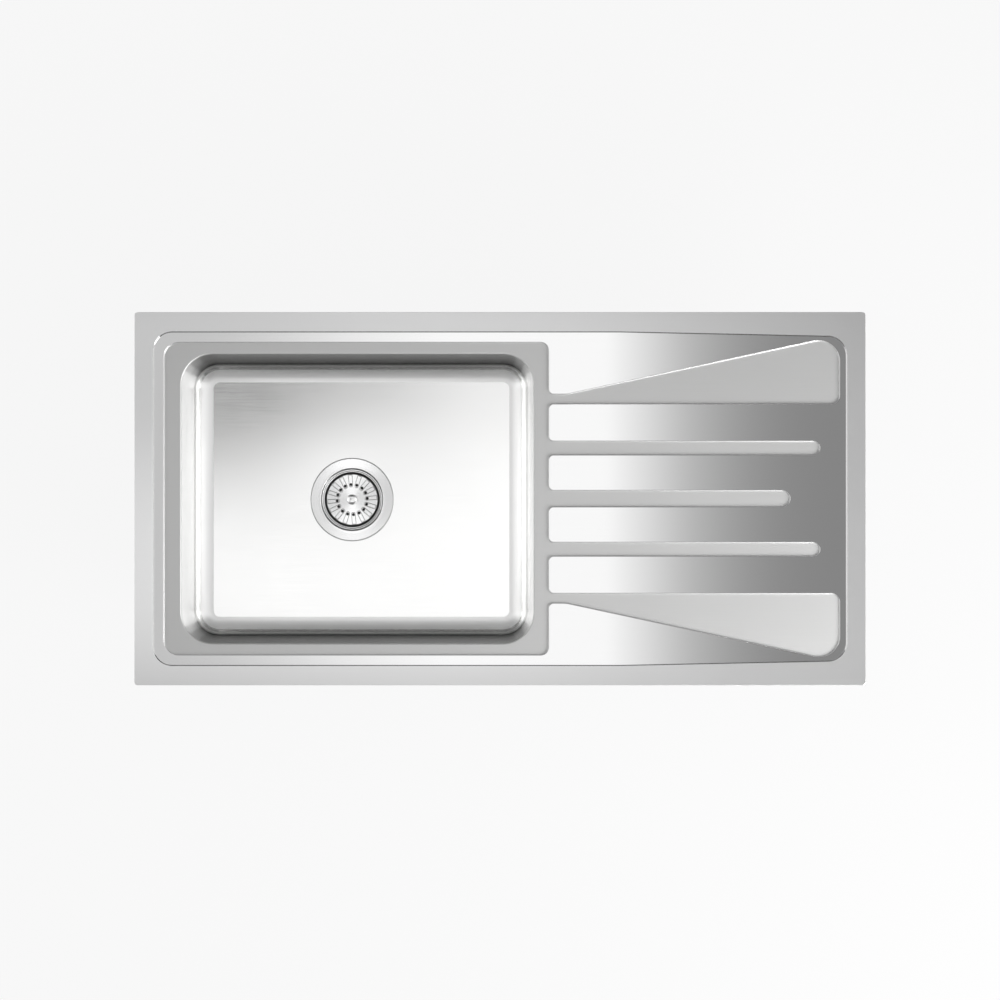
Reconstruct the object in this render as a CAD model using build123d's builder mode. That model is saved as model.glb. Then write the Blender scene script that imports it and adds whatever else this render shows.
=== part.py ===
# Kitchen sink with drainboard.  An inset steel sink hangs by its rim in a worktop
# cut-out: one deep bowl at the left, a drainboard at the right, a lift-out basket
# strainer in the bowl's floor, and screwed clips that clamp the rim down.
#
# Millimetres, +Z up, +X from the bowl towards the drainboard, +Y towards the back.
# The origin is the middle of the outline, in the plane of the worktop.
import math
import os

from build123d import *

# ------------------------------------------------------------------ deck sizes
SINK_LENGTH = 980.0
SINK_WIDTH = 500.0
OUTLINE_RADIUS = 5.0
SHEET = 1.0                 # thickness of the pressed steel
RIM_TOP = 4.0               # top of the rim above the worktop
RIM_EDGE_RADIUS = 2.0
FOLD_GAP = 0.4              # the folded edge stops this far above the worktop
STEP_DEPTH = 2.5            # rim down to the bright deck
RECESS_DEPTH = 3.0          # bright deck down to the ring and the channels
PRESS_ANGLE = 45.0          # slope of both steps

RIM_END = 25.0              # rim width at the short sides
RIM_SIDE = 26.0             # rim width at the long sides
RIM_SIDE_FAR = 32.5         # the same beside the drainboard's far end
RIM_TAPER_START = 329.0     # from the right-hand edge of the sink
RIM_TAPER_RADIUS = 300.0
STEP_RADIUS = 26.0

BAND = 14.0                 # bright band between step and ring recess
RING_LEFT = 24.0            # ring recess, from its outer edge to the bowl
RING_SIDE = 16.0
RING_RIGHT = 21.0
RING_RADIUS_LEFT = 21.0
RING_RADIUS_RIGHT = 11.5

# ------------------------------------------------------------- drain channels
FINGER_PITCH = 67.8
FINGER_WIDTH = 19.5
FINGER_END = 61.0           # from its closed end to the sink's right-hand edge
MIDDLE_FINGER_WIDTH = 23.0
MIDDLE_FINGER_END = 101.0
WEDGE_INNER = 126.5         # middle line to the wedge's straight side
WEDGE_MOUTH = 14.0
WEDGE_NECK = 23.0           # straight mouth before the side slants away
WEDGE_END_BAND = 9.6        # bright band between wedge and step at the far end
WEDGE_RISE = 1.4            # the slanted side aims this far past the step's line
WEDGE_OUTER_RADIUS = 28.0
WEDGE_INNER_RADIUS = 11.5
WEDGE_BEND_RADIUS = 40.0
MOUTH_RADIUS = 6.0

# ---------------------------------------------------------------------- bowl
BOWL_LENGTH = 472.0
BOWL_DEPTH = 200.0          # rim top to the floor beside the strainer
BOWL_CORNER_RADIUS = 42.0
BOWL_EDGE_RADIUS = 4.5
LIP_DEPTH = 5.5             # the deck's turned-down lip, below the ring recess
BOWL_DRAFT = 3.0
BOWL_FLOOR_RADIUS = 24.0
FLOOR_FALL = 1.0            # slope of the floor towards the drain, in degrees
DRAIN_OFFSET = -13.0        # drain centre from the bowl's centre, along X
DRAIN_HOLE_CLEARANCE = 3.0  # round the strainer's cup
DRAIN_SEAT_MARGIN = 3.0     # round the strainer's flange
DRAIN_SEAT_DEPTH = 2.6

# --------------------------------------------------- strip, pads, rails, clips
STRIP_WIDTH = 7.0
STRIP_GAP = 1.2             # between the strip and the folded edge
PAD_THICKNESS = 1.5
BOWL_PAD_MARGIN = 75.0      # from the bowl's sides to the pad
BOWL_PAD_CORNER_RADIUS = 10.0
DRAIN_CLEARANCE = 12.5      # free ring between the drain seat and the pad
DRAINER_PAD_END = 122.0     # from the sink's right-hand edge
DRAINER_PAD_MARGIN = 6.0
DRAINER_PAD_CORNER_RADIUS = 4.0

RAIL_SETBACK = 5.0          # from the rim's step to the rail's upright web
RAIL_FLANGE = 5.0
RAIL_HEIGHT = 14.0
RAIL_SHEET = 1.2
SLOT_WIDTH = 14.0
SLOT_TOP = 5.0              # below the underside of the bright deck
SLOT_HEIGHT = 5.0
LONG_RAIL_START = 90.0      # from the sink's left-hand edge
LONG_RAIL_END = 240.0       # from the sink's right-hand edge
LONG_RAIL_CLIP_MARGIN = 90.0
SHORT_RAIL_LENGTH = 220.0

BRACKET_SHEET = 1.5
BRACKET_WIDTH = 24.0
BRACKET_TOP = 2.0           # top of the bracket below the worktop plane
BRACKET_FOOT = 2.0          # how far the bracket reaches below the resting claw
BRACKET_GAP = 0.2           # hooked fit on the rail
HOOK_WIDTH = 12.0
HOOK_LIP = 4.0              # turned-down end of the hook, behind the rail
TAB_LEVEL = 18.0            # threaded tab below the worktop plane
TAB_THICKNESS = 2.0
TAB_EDGE = 1.0              # tab round its threaded boss
TAB_INSET = 2.0             # the tab is this much narrower at each side
TAB_BOSS_RADIUS = 5.5
TAB_BOSS_HEIGHT = 3.0

CLAMP_SCREW_RADIUS = 3.0
CLAMP_SCREW_OFFSET = 9.0    # from the rail's web
CLAMP_SCREW_PROUD = 4.0     # thread above the tab when the claw stands at rest
CLAMP_SCREW_SLOT = 1.2
CLAMP_SCREW_CHAMFER = 0.8
CLAMP_HEAD_CHAMFER = 0.6
CLAMP_HEAD_FLATS = 10.0
CLAMP_HEAD_HEIGHT = 4.0
THREAD_CLEARANCE = 0.1
CLAW_SHEET = 2.0
CLAW_WIDTH = 20.0
CLAW_EDGE = 2.5             # the claw stops this far inside the sink's edge
CLAW_GUIDE_HEIGHT = 10.0
CLAW_GAP = 0.4              # between claw and bracket
CLAW_HOLE_RADIUS = 3.4
CLAW_TOOTH = 2.0
CLAW_TEETH = 5
WORKTOP_MAX = 40.0          # thickest worktop: where the claws stand at rest
CLAW_HEIGHT = 16.0

# ------------------------------------------------------------- basket strainer
FLANGE_RADIUS = 56.5
FLANGE_SHEET = 0.8
FLANGE_EDGE_DROP = 0.3      # turned-down outer edge, below the flange's sheet top
FLANGE_BEVEL = 1.5          # width of the bevel inside that edge
FLANGE_BEVEL_RISE = 0.5
FLANGE_CROWN = 0.7          # rise of the flange's crown above its sheet
FLANGE_CROWN_WIDTH = 9.0    # from the outer edge to the crown
MOUTH_BEVEL = 1.6           # rounded lip into the mouth, in plan
MOUTH_BEVEL_DROP = 2.2
MOUTH_LIP_DROP = 0.2
NECK_FLARE = 2.2            # the cup's outside flares out to the flange by this much
MOUTH_CUP_RADIUS = 42.0
BASKET_SEAT_WIDTH = 5.0     # sloping seat between mouth and cup wall
BASKET_SEAT_TOP = 2.5       # below the drain seat
BASKET_SEAT_BOTTOM = 6.5
CUP_DEPTH = 34.0            # from the drain seat to the cup's floor
CUP_HOLE_RADIUS = 4.5
CUP_HOLES = 8
DIMPLE_RADIUS = 10.0
DIMPLE_DEPTH = 6.0
FLANGE_SEAL = 1.5
BODY_GASKET = 3.0
SEAL_MARGIN = 1.0           # between a seal's inner edge and the drain hole
SEAL_INSET = 0.5            # between a seal's outer edge and the flange's

BODY_WALL = 3.0
BODY_FLANGE_MARGIN = 1.5    # the body's flange is this much wider than the steel one
BODY_FLANGE_THICKNESS = 5.0
BODY_SHOULDER_RISE = 4.0    # the chamber's straight wall ends above the cup's floor
BODY_CONE_DEPTH = 24.0      # from the cup's floor down to the neck
BODY_NECK_LENGTH = 30.0
OUTLET_RADIUS = 23.9        # over the thread of a 1 1/2 inch tail
OUTLET_BORE_RADIUS = 20.0
OUTLET_COLLAR = 2.5
OUTLET_THREAD_LENGTH = 18.0
WEB_THICKNESS = 3.0
WEB_RIBS = 3
BOSS_RADIUS = 9.0
BOSS_LENGTH = 15.0
WASTE_SCREW_RADIUS = 3.0
WASTE_SCREW_HEAD_RADIUS = 8.0
WASTE_SCREW_HEAD_HEIGHT = 4.0
WASTE_SCREW_CHAMFER = 0.8
WASTE_NUT_FLATS = 10.0
WASTE_NUT_HEIGHT = 6.0
SOCKET_DEPTH = 3.0
FIT_CLEARANCE = 0.2

BASKET_DROP = 3.0           # top of the basket plate below the drain seat
BASKET_SHEET = 0.8
PLATE_MARGIN = 3.0          # from the plate's edge to the cup's wall, in plan
FLUTES = 16
FLUTE_WIDTH = 4.5
FLUTE_DEPTH = 0.4
FLUTE_START_ANGLE = 4.8
FLUTE_HOLE_RADIUS = 21.0
FLUTE_HOLE_LENGTH = 4.5
FLUTE_HOLE_INSET = 0.5      # the hole is this much narrower than its flute
FLUTE_HOLE_CORNER_RADIUS = 1.5
FLUTE_END_MARGIN = 1.0      # from the flute's outer end to the plate's edge
RIM_RING_LAP = 0.6          # the ring reaches this far over the sloping seat
RIM_RING_THICKNESS = 3.0
SEAT_GAP = 0.3              # rubber clear of steel when the basket rests
WALL_GAP = 0.5              # rubber clear of the cup's wall
BASKET_MARGIN = 5.0         # from the basket's wall to the cup's wall
BASKET_TAPER = 5.0          # the basket narrows by this much at its foot
BASKET_FLANGE = 3.0
BASKET_SLOT_WIDTH = 3.0
BASKET_SLOTS = 16
BASKET_SLOT_RISE = 4.0      # solid band below the slots
BASKET_SLOT_DROP = 6.0      # solid band above the slots
BASKET_SLOT_REACH = 12.0    # radial length of each slot's cutter
BASKET_HOLE_RADIUS = 1.8
BASKET_HOLE_ROWS = ((6.0, 16), (13.0, 10))   # inside the stopper's edge, and how many
STEM_RADIUS = 2.8
STEM_SPACER_RADIUS = 4.5
STEM_CHAMFER = 0.5
STOPPER_MARGIN = 12.0       # from the stopper's edge to the cup's wall
STOPPER_THICKNESS = 2.9
STOPPER_BEVEL = 1.0
BASKET_NUT_RADIUS = 7.0
BASKET_NUT_HEIGHT = 2.0
BASKET_NUT_CHAMFER = 0.4
STEM_TIP = 1.8              # how far the stem's tip stands in the screw's socket
KNOB_RADIUS = 7.0
KNOB_NECK_RADIUS = 3.9
KNOB_HEIGHT = 12.0
KNOB_DOME = 2.5
KNOB_COLLAR = 1.6           # the foot stands out from the neck by this much
KNOB_COLLAR_HEIGHT = 1.0
KNOB_COLLAR_SLOPE = 1.0
KNOB_GRIP = 1.0             # straight edge of the head
KNOB_UNDERCUT = 2.0         # slope from the head's edge down to the neck

# --------------------------------------------------------------- derived places
HALF_LENGTH = SINK_LENGTH / 2
HALF_WIDTH = SINK_WIDTH / 2
FORM_DEPTH = 60.0           # how deep the block forms reach before they are trimmed
DECK_TOP = RIM_TOP - STEP_DEPTH
RING_TOP = DECK_TOP - RECESS_DEPTH
DECK_UNDERSIDE = DECK_TOP - SHEET
LIP_BOTTOM = RING_TOP - LIP_DEPTH
BEND_SHIFT = SHEET * math.tan(math.radians(PRESS_ANGLE / 2))

STEP_X = HALF_LENGTH - RIM_END
STEP_Y = HALF_WIDTH - RIM_SIDE
STEP_Y_FAR = HALF_WIDTH - RIM_SIDE_FAR
TAPER_X = HALF_LENGTH - RIM_TAPER_START

RING_LEFT_X = -STEP_X + BAND
BOWL_LEFT_X = RING_LEFT_X + RING_LEFT
BOWL_RIGHT_X = BOWL_LEFT_X + BOWL_LENGTH
RING_RIGHT_X = BOWL_RIGHT_X + RING_RIGHT
RING_Y = STEP_Y - BAND
BOWL_WIDTH = 2 * (RING_Y - RING_SIDE)
BOWL_X = (BOWL_LEFT_X + BOWL_RIGHT_X) / 2
WEDGE_RIGHT_X = STEP_X - WEDGE_END_BAND

CUP_RADIUS = MOUTH_CUP_RADIUS - BASKET_SEAT_WIDTH
DRAIN_HOLE_RADIUS = MOUTH_CUP_RADIUS + DRAIN_HOLE_CLEARANCE
DRAIN_SEAT_RADIUS = FLANGE_RADIUS + DRAIN_SEAT_MARGIN
SEAL_INNER_RADIUS = DRAIN_HOLE_RADIUS + SEAL_MARGIN
SEAL_OUTER_RADIUS = FLANGE_RADIUS - SEAL_INSET
DRAIN_X = BOWL_X + DRAIN_OFFSET
FLOOR_Z = RIM_TOP - BOWL_DEPTH
SEAT_Z = FLOOR_Z - DRAIN_SEAT_DEPTH
FALL = math.tan(math.radians(FLOOR_FALL))

RAIL_INSET = max(RIM_SIDE, RIM_END) + RAIL_SETBACK
RAIL_X = HALF_LENGTH - RAIL_INSET
RAIL_Y = HALF_WIDTH - RAIL_INSET
LONG_RAIL_LEFT = -HALF_LENGTH + LONG_RAIL_START
LONG_RAIL_RIGHT = HALF_LENGTH - LONG_RAIL_END
LONG_RAIL_CENTRE = (LONG_RAIL_LEFT + LONG_RAIL_RIGHT) / 2
LONG_RAIL_LENGTH = LONG_RAIL_RIGHT - LONG_RAIL_LEFT
CLIP_OFFSET = LONG_RAIL_LENGTH / 2 - LONG_RAIL_CLIP_MARGIN
CLAW_BASE_Z = -WORKTOP_MAX - CLAW_HEIGHT
CLAW_REACH = RAIL_INSET - CLAW_EDGE
CLAMP_SCREW_LENGTH = CLAMP_SCREW_PROUD - TAB_LEVEL - CLAW_BASE_Z

# A clip plane has its X axis along the rail and its Y axis outwards, with its
# origin on the rail's outer face in the plane of the worktop.
BACK = Plane((LONG_RAIL_CENTRE, RAIL_Y, 0), x_dir=(1, 0, 0), z_dir=(0, 0, 1))
FRONT = Plane((LONG_RAIL_CENTRE, -RAIL_Y, 0), x_dir=(-1, 0, 0), z_dir=(0, 0, 1))
LEFT = Plane((-RAIL_X, 0, 0), x_dir=(0, 1, 0), z_dir=(0, 0, 1))
RIGHT = Plane((RAIL_X, 0, 0), x_dir=(0, -1, 0), z_dir=(0, 0, 1))

RAILS = {
    "rail_back": (BACK, LONG_RAIL_LENGTH, (-CLIP_OFFSET, CLIP_OFFSET)),
    "rail_front": (FRONT, LONG_RAIL_LENGTH, (-CLIP_OFFSET, CLIP_OFFSET)),
    "rail_left": (LEFT, SHORT_RAIL_LENGTH, (0.0,)),
    "rail_right": (RIGHT, SHORT_RAIL_LENGTH, (0.0,)),
}
CLIP_PLACES = [(side, along) for side, _, places in RAILS.values() for along in places]


def save(part, name):
    """Label one finished piece and write it under its node's name."""
    part.label = name
    export_step(part, f"parts/{name}.step")


# ------------------------------------------------------------------------ deck
def step_outline():
    """The line where the rim steps down to the bright deck, narrower at the far end."""
    with BuildSketch() as outline:
        with BuildLine():
            FilletPolyline(
                (-STEP_X, -STEP_Y), (TAPER_X, -STEP_Y), (STEP_X, -STEP_Y_FAR),
                (STEP_X, STEP_Y_FAR), (TAPER_X, STEP_Y), (-STEP_X, STEP_Y),
                radius=(STEP_RADIUS, RIM_TAPER_RADIUS, STEP_RADIUS,
                        STEP_RADIUS, RIM_TAPER_RADIUS, STEP_RADIUS),
                close=True,
            )
        make_face()
    return outline.sketch


def wedge_outline(side):
    """One wedge channel: a straight mouth, then a side that slants out to the far end."""
    mouth_outer = WEDGE_INNER + WEDGE_MOUTH
    neck_x = RING_RIGHT_X + WEDGE_NECK
    start_x = RING_RIGHT_X - RING_RIGHT / 2
    with BuildSketch() as wedge:
        with BuildLine():
            FilletPolyline(
                (start_x, side * WEDGE_INNER), (WEDGE_RIGHT_X, side * WEDGE_INNER),
                (WEDGE_RIGHT_X, side * (STEP_Y_FAR + WEDGE_RISE)), (neck_x, side * mouth_outer),
                (start_x, side * mouth_outer),
                radius=(0, WEDGE_INNER_RADIUS, WEDGE_OUTER_RADIUS, WEDGE_BEND_RADIUS, 0),
                close=True,
            )
        make_face()
    return wedge.sketch


def draw_finger(y, width, right_x):
    """One straight channel with a round closed end."""
    start_x = RING_RIGHT_X - RING_RIGHT / 2
    length = right_x - width / 2 - start_x
    with Locations((start_x + length / 2, y)):
        Rectangle(length, width)
    with Locations((right_x - width / 2, y)):
        Circle(width / 2)


def recess_outline():
    """The ring round the bowl and the five channels that run into it."""
    ring_length = RING_RIGHT_X - RING_LEFT_X
    finger_x = HALF_LENGTH - FINGER_END
    wedges = (wedge_outline(1), wedge_outline(-1))
    with BuildSketch() as recess:
        with Locations((RING_LEFT_X + ring_length / 2, 0)):
            Rectangle(ring_length, 2 * RING_Y)
        draw_finger(FINGER_PITCH, FINGER_WIDTH, finger_x)
        draw_finger(-FINGER_PITCH, FINGER_WIDTH, finger_x)
        draw_finger(0, MIDDLE_FINGER_WIDTH, HALF_LENGTH - MIDDLE_FINGER_END)
        add(wedges)
        fillet(recess.vertices().group_by(Axis.X)[0], RING_RADIUS_LEFT)
        ring_edge = recess.vertices().filter_by(lambda v: abs(v.X - RING_RIGHT_X) < 0.1)
        fillet(ring_edge.filter_by(lambda v: abs(v.Y) > RING_Y - 1), RING_RADIUS_RIGHT)
        mouths = recess.vertices().filter_by(
            lambda v: abs(v.X - RING_RIGHT_X) < 0.1 and abs(v.Y) < WEDGE_INNER + WEDGE_MOUTH + 1
        )
        fillet(mouths, MOUTH_RADIUS)
    return recess.sketch


def pressed_form(drop, wall, shift):
    """A block with the deck's pressed shape on top.

    drop lowers the surface, wall thins the block's sides and widens the bowl's
    opening, and shift widens the stepped outlines.  Two such blocks, one a sheet
    below the other, leave the pressed sheet between them.
    """
    step = step_outline()
    recess = recess_outline()
    with BuildPart() as form:
        with BuildSketch(Plane.XY.offset(RIM_TOP - drop)):
            RectangleRounded(SINK_LENGTH - 2 * wall, SINK_WIDTH - 2 * wall, OUTLINE_RADIUS - wall)
        extrude(amount=-FORM_DEPTH)
        fillet(form.faces().sort_by(Axis.Z)[-1].edges(), RIM_EDGE_RADIUS - wall)
        with BuildSketch(Plane.XY.offset(RIM_TOP - drop)):
            add(step)
            if shift:
                offset(amount=shift)
        extrude(amount=-STEP_DEPTH, taper=PRESS_ANGLE, mode=Mode.SUBTRACT)
        with BuildSketch(Plane.XY.offset(DECK_TOP - drop)):
            add(recess)
            if shift:
                offset(amount=shift)
        extrude(amount=-RECESS_DEPTH, taper=PRESS_ANGLE, mode=Mode.SUBTRACT)
        with BuildSketch(Plane.XY.offset(RING_TOP - drop)):
            with Locations((BOWL_X, 0)):
                RectangleRounded(
                    BOWL_LENGTH + 2 * wall, BOWL_WIDTH + 2 * wall, BOWL_CORNER_RADIUS + wall
                )
        extrude(amount=-FORM_DEPTH, mode=Mode.SUBTRACT)
        opening_edges = form.edges().filter_by_position(
            Axis.Z, RING_TOP - drop - 0.01, RING_TOP - drop + 0.01
        )
        fillet(
            opening_edges.filter_by(lambda edge: inside_bowl(edge.center(), wall)),
            BOWL_EDGE_RADIUS - wall,
        )
    return form.part


def inside_bowl(point, wall):
    """Whether a point lies on or within the bowl's opening, grown by wall."""
    within_x = abs(point.X - BOWL_X) < BOWL_LENGTH / 2 + wall + 0.01
    return within_x and abs(point.Y) < BOWL_WIDTH / 2 + wall + 0.01


def make_deck():
    """The pressed top: rim, bright deck, ring recess, channels, fold and lip."""
    upper = pressed_form(0, 0, 0)
    under = pressed_form(SHEET, SHEET, BEND_SHIFT)
    with BuildPart() as deck:
        add(upper)
        add(under, mode=Mode.SUBTRACT)
        with BuildSketch(Plane.XY.offset(LIP_BOTTOM)):
            Rectangle(SINK_LENGTH + 2, SINK_WIDTH + 2)
        extrude(amount=-FORM_DEPTH, mode=Mode.SUBTRACT)
        with BuildSketch(Plane.XY.offset(FOLD_GAP)):
            Rectangle(SINK_LENGTH + 2, SINK_WIDTH + 2)
            Rectangle(SINK_LENGTH - 4 * SHEET, SINK_WIDTH - 4 * SHEET, mode=Mode.SUBTRACT)
        extrude(amount=-FORM_DEPTH, mode=Mode.SUBTRACT)
    save(deck.part, "deck")


# ------------------------------------------------------------------------ bowl
def bowl_form(grow):
    """The bowl's inner shape as a solid, or with grow its outer shape.

    The floor is a very flat cone about the drain, so it runs up to the walls on
    a slight curve, and the walls lean out by the draft.
    """
    floor_z = FLOOR_Z - grow
    axis_z = floor_z - DRAIN_SEAT_RADIUS * FALL
    reach = SINK_LENGTH
    with BuildPart() as form:
        with BuildSketch(Plane.XY.offset(LIP_BOTTOM)):
            with Locations((BOWL_X, 0)):
                RectangleRounded(
                    BOWL_LENGTH + 2 * grow, BOWL_WIDTH + 2 * grow, BOWL_CORNER_RADIUS + grow
                )
        extrude(amount=axis_z - LIP_BOTTOM, taper=BOWL_DRAFT)
        with BuildSketch(Plane((DRAIN_X, 0, 0), x_dir=(1, 0, 0), z_dir=(0, -1, 0))):
            Polygon(
                (0, axis_z), (reach, axis_z + reach * FALL), (reach, axis_z - 1), (0, axis_z - 1)
            )
        revolve(axis=drain_axis(), mode=Mode.SUBTRACT)
        floor = form.faces().filter_by(GeomType.CONE).sort_by(SortBy.AREA)[-1]
        fillet(floor.edges(), BOWL_FLOOR_RADIUS + grow)
        with BuildSketch(Plane.XY.offset(FLOOR_Z + 1)):
            with Locations((DRAIN_X, 0)):
                Circle(DRAIN_SEAT_RADIUS + grow)
        extrude(amount=-1 - DRAIN_SEAT_DEPTH - grow)
    return form.part


def make_bowl():
    """The deep-drawn bowl, welded under the deck's lip."""
    outer = bowl_form(SHEET)
    inner = bowl_form(0)
    with BuildPart() as bowl:
        add(outer)
        add(inner, mode=Mode.SUBTRACT)
        with BuildSketch(Plane.XY.offset(FLOOR_Z)):
            with Locations((DRAIN_X, 0)):
                Circle(DRAIN_HOLE_RADIUS)
        extrude(amount=-FORM_DEPTH, mode=Mode.SUBTRACT)
    save(bowl.part, "bowl")


def make_bowl_pad():
    """The sound-deadening sheet stuck under the bowl's floor, round the drain."""
    underside_z = FLOOR_Z - SHEET - DRAIN_SEAT_RADIUS * FALL
    hole_radius = DRAIN_SEAT_RADIUS + DRAIN_CLEARANCE
    reach = BOWL_LENGTH
    with BuildPart() as pad:
        with BuildSketch(Plane((DRAIN_X, 0, 0), x_dir=(1, 0, 0), z_dir=(0, -1, 0))):
            Polygon(
                (hole_radius, underside_z + hole_radius * FALL),
                (reach, underside_z + reach * FALL),
                (reach, underside_z + reach * FALL - PAD_THICKNESS),
                (hole_radius, underside_z + hole_radius * FALL - PAD_THICKNESS),
            )
        revolve(axis=drain_axis())
        with BuildSketch(Plane.XY.offset(underside_z - FORM_DEPTH)):
            with Locations((BOWL_X, 0)):
                RectangleRounded(
                    BOWL_LENGTH - 2 * BOWL_PAD_MARGIN, BOWL_WIDTH - 2 * BOWL_PAD_MARGIN,
                    BOWL_PAD_CORNER_RADIUS,
                )
        extrude(amount=2 * FORM_DEPTH, mode=Mode.INTERSECT)
    save(pad.part, "bowl_pad")


def make_drainer_pads():
    """Four damping strips stuck under the bright lands between the channels."""
    finger_edge = FINGER_PITCH - FINGER_WIDTH / 2
    inner_land = (MIDDLE_FINGER_WIDTH / 2, finger_edge)
    outer_land = (finger_edge + FINGER_WIDTH, WEDGE_INNER)
    start_x = RING_RIGHT_X + DRAINER_PAD_MARGIN + MOUTH_RADIUS
    length = HALF_LENGTH - DRAINER_PAD_END - start_x
    with BuildPart() as pads:
        with BuildSketch(Plane.XY.offset(DECK_UNDERSIDE)):
            for low, high in (inner_land, outer_land):
                for side in (1, -1):
                    with Locations((start_x + length / 2, side * (low + high) / 2)):
                        RectangleRounded(
                            length, high - low - 2 * DRAINER_PAD_MARGIN, DRAINER_PAD_CORNER_RADIUS
                        )
        extrude(amount=-PAD_THICKNESS)
    save(pads.part, "drainer_pads")


def make_sealing_strip():
    """The foam strip inside the folded edge; its underside rests on the worktop."""
    inset = 2 * (SHEET + STRIP_GAP)
    with BuildPart() as strip:
        with BuildSketch(Plane.XY):
            RectangleRounded(SINK_LENGTH - inset, SINK_WIDTH - inset, OUTLINE_RADIUS - inset / 2)
            Rectangle(
                SINK_LENGTH - inset - 2 * STRIP_WIDTH,
                SINK_WIDTH - inset - 2 * STRIP_WIDTH,
                mode=Mode.SUBTRACT,
            )
        extrude(amount=RIM_TOP - SHEET)
    save(strip.part, "sealing_strip")


# ----------------------------------------------------------- rails and clips
def make_rail(name, side, length, places):
    """An angle strip welded under the deck, with a slot for each clip's hook."""
    web_top = DECK_UNDERSIDE
    with BuildPart(side) as rail:
        with BuildSketch(side.offset(web_top)):
            with Locations((0, -RAIL_FLANGE / 2)):
                Rectangle(length, RAIL_FLANGE)
        extrude(amount=-RAIL_SHEET)
        with BuildSketch(side.offset(web_top)):
            with Locations((0, -RAIL_SHEET / 2)):
                Rectangle(length, RAIL_SHEET)
        extrude(amount=-RAIL_HEIGHT)
        with BuildSketch(side.offset(web_top - SLOT_TOP)):
            for along in places:
                with Locations((along, -RAIL_SHEET / 2)):
                    Rectangle(SLOT_WIDTH, 2 * RAIL_SHEET)
        extrude(amount=-SLOT_HEIGHT, mode=Mode.SUBTRACT)
    save(rail.part, name)


def make_bracket(name, side, along):
    """A bent plate that hooks into the rail and carries the threaded tab."""
    plate_y = BRACKET_GAP + BRACKET_SHEET / 2
    tab_start = BRACKET_GAP + BRACKET_SHEET
    tab_end = CLAMP_SCREW_OFFSET + TAB_BOSS_RADIUS + TAB_EDGE
    hook_top = DECK_UNDERSIDE - SLOT_TOP - SLOT_HEIGHT + BRACKET_SHEET
    hook_back = -RAIL_SHEET - BRACKET_GAP - BRACKET_SHEET
    with BuildPart() as bracket:
        with BuildSketch(side.offset(-BRACKET_TOP)):
            with Locations((along, plate_y)):
                Rectangle(BRACKET_WIDTH, BRACKET_SHEET)
        extrude(amount=CLAW_BASE_Z - BRACKET_FOOT + BRACKET_TOP)
        with BuildSketch(side.offset(hook_top)):
            with Locations((along, (hook_back + plate_y) / 2)):
                Rectangle(HOOK_WIDTH, plate_y - hook_back)
        extrude(amount=-BRACKET_SHEET)
        with BuildSketch(side.offset(hook_top)):
            with Locations((along, hook_back + BRACKET_SHEET / 2)):
                Rectangle(HOOK_WIDTH, BRACKET_SHEET)
        extrude(amount=-HOOK_LIP - BRACKET_SHEET)
        with BuildSketch(side.offset(-TAB_LEVEL)):
            with Locations((along, (tab_start + tab_end) / 2)):
                Rectangle(BRACKET_WIDTH - 2 * TAB_INSET, tab_end - tab_start)
        extrude(amount=-TAB_THICKNESS)
        with BuildSketch(side.offset(-TAB_LEVEL - TAB_THICKNESS)):
            with Locations((along, CLAMP_SCREW_OFFSET)):
                Circle(TAB_BOSS_RADIUS)
        extrude(amount=-TAB_BOSS_HEIGHT)
        with BuildSketch(side.offset(-TAB_LEVEL + 1)):
            with Locations((along, CLAMP_SCREW_OFFSET)):
                Circle(CLAMP_SCREW_RADIUS + THREAD_CLEARANCE)
        extrude(amount=-TAB_THICKNESS - TAB_BOSS_HEIGHT - 2, mode=Mode.SUBTRACT)
    save(bracket.part, name)


def make_claw(name, side, along):
    """The claw: it slides up the bracket and bites under the worktop with its teeth."""
    guide_y = BRACKET_GAP + BRACKET_SHEET + CLAW_GAP
    pitch = CLAW_WIDTH / CLAW_TEETH
    with BuildPart() as claw:
        with BuildSketch(side.offset(CLAW_BASE_Z)):
            with Locations((along, (guide_y + CLAW_REACH) / 2)):
                Rectangle(CLAW_WIDTH, CLAW_REACH - guide_y)
            with Locations((along, CLAMP_SCREW_OFFSET)):
                Circle(CLAW_HOLE_RADIUS, mode=Mode.SUBTRACT)
        extrude(amount=CLAW_SHEET)
        with BuildSketch(side.offset(CLAW_BASE_Z)):
            with Locations((along, guide_y + CLAW_SHEET / 2)):
                Rectangle(CLAW_WIDTH, CLAW_SHEET)
        extrude(amount=CLAW_GUIDE_HEIGHT)
        with BuildSketch(side.offset(CLAW_BASE_Z)):
            with Locations((along, CLAW_REACH - CLAW_SHEET / 2)):
                Rectangle(CLAW_WIDTH, CLAW_SHEET)
        extrude(amount=CLAW_HEIGHT)
        outer_face = Plane(
            side.from_local_coords(Vector(along, CLAW_REACH + 1, 0)),
            x_dir=side.x_dir, z_dir=side.y_dir,
        )
        with BuildSketch(outer_face):
            for tooth in range(CLAW_TEETH - 1):
                gap_x = (tooth - (CLAW_TEETH - 2) / 2) * pitch
                Polygon(
                    (gap_x - pitch / 2, WORKTOP_MAX - 1),
                    (gap_x - pitch / 2, WORKTOP_MAX),
                    (gap_x, WORKTOP_MAX + CLAW_TOOTH),
                    (gap_x + pitch / 2, WORKTOP_MAX),
                    (gap_x + pitch / 2, WORKTOP_MAX - 1),
                )
        extrude(amount=-2 * CLAW_SHEET, mode=Mode.SUBTRACT)
    save(claw.part, name)


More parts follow.
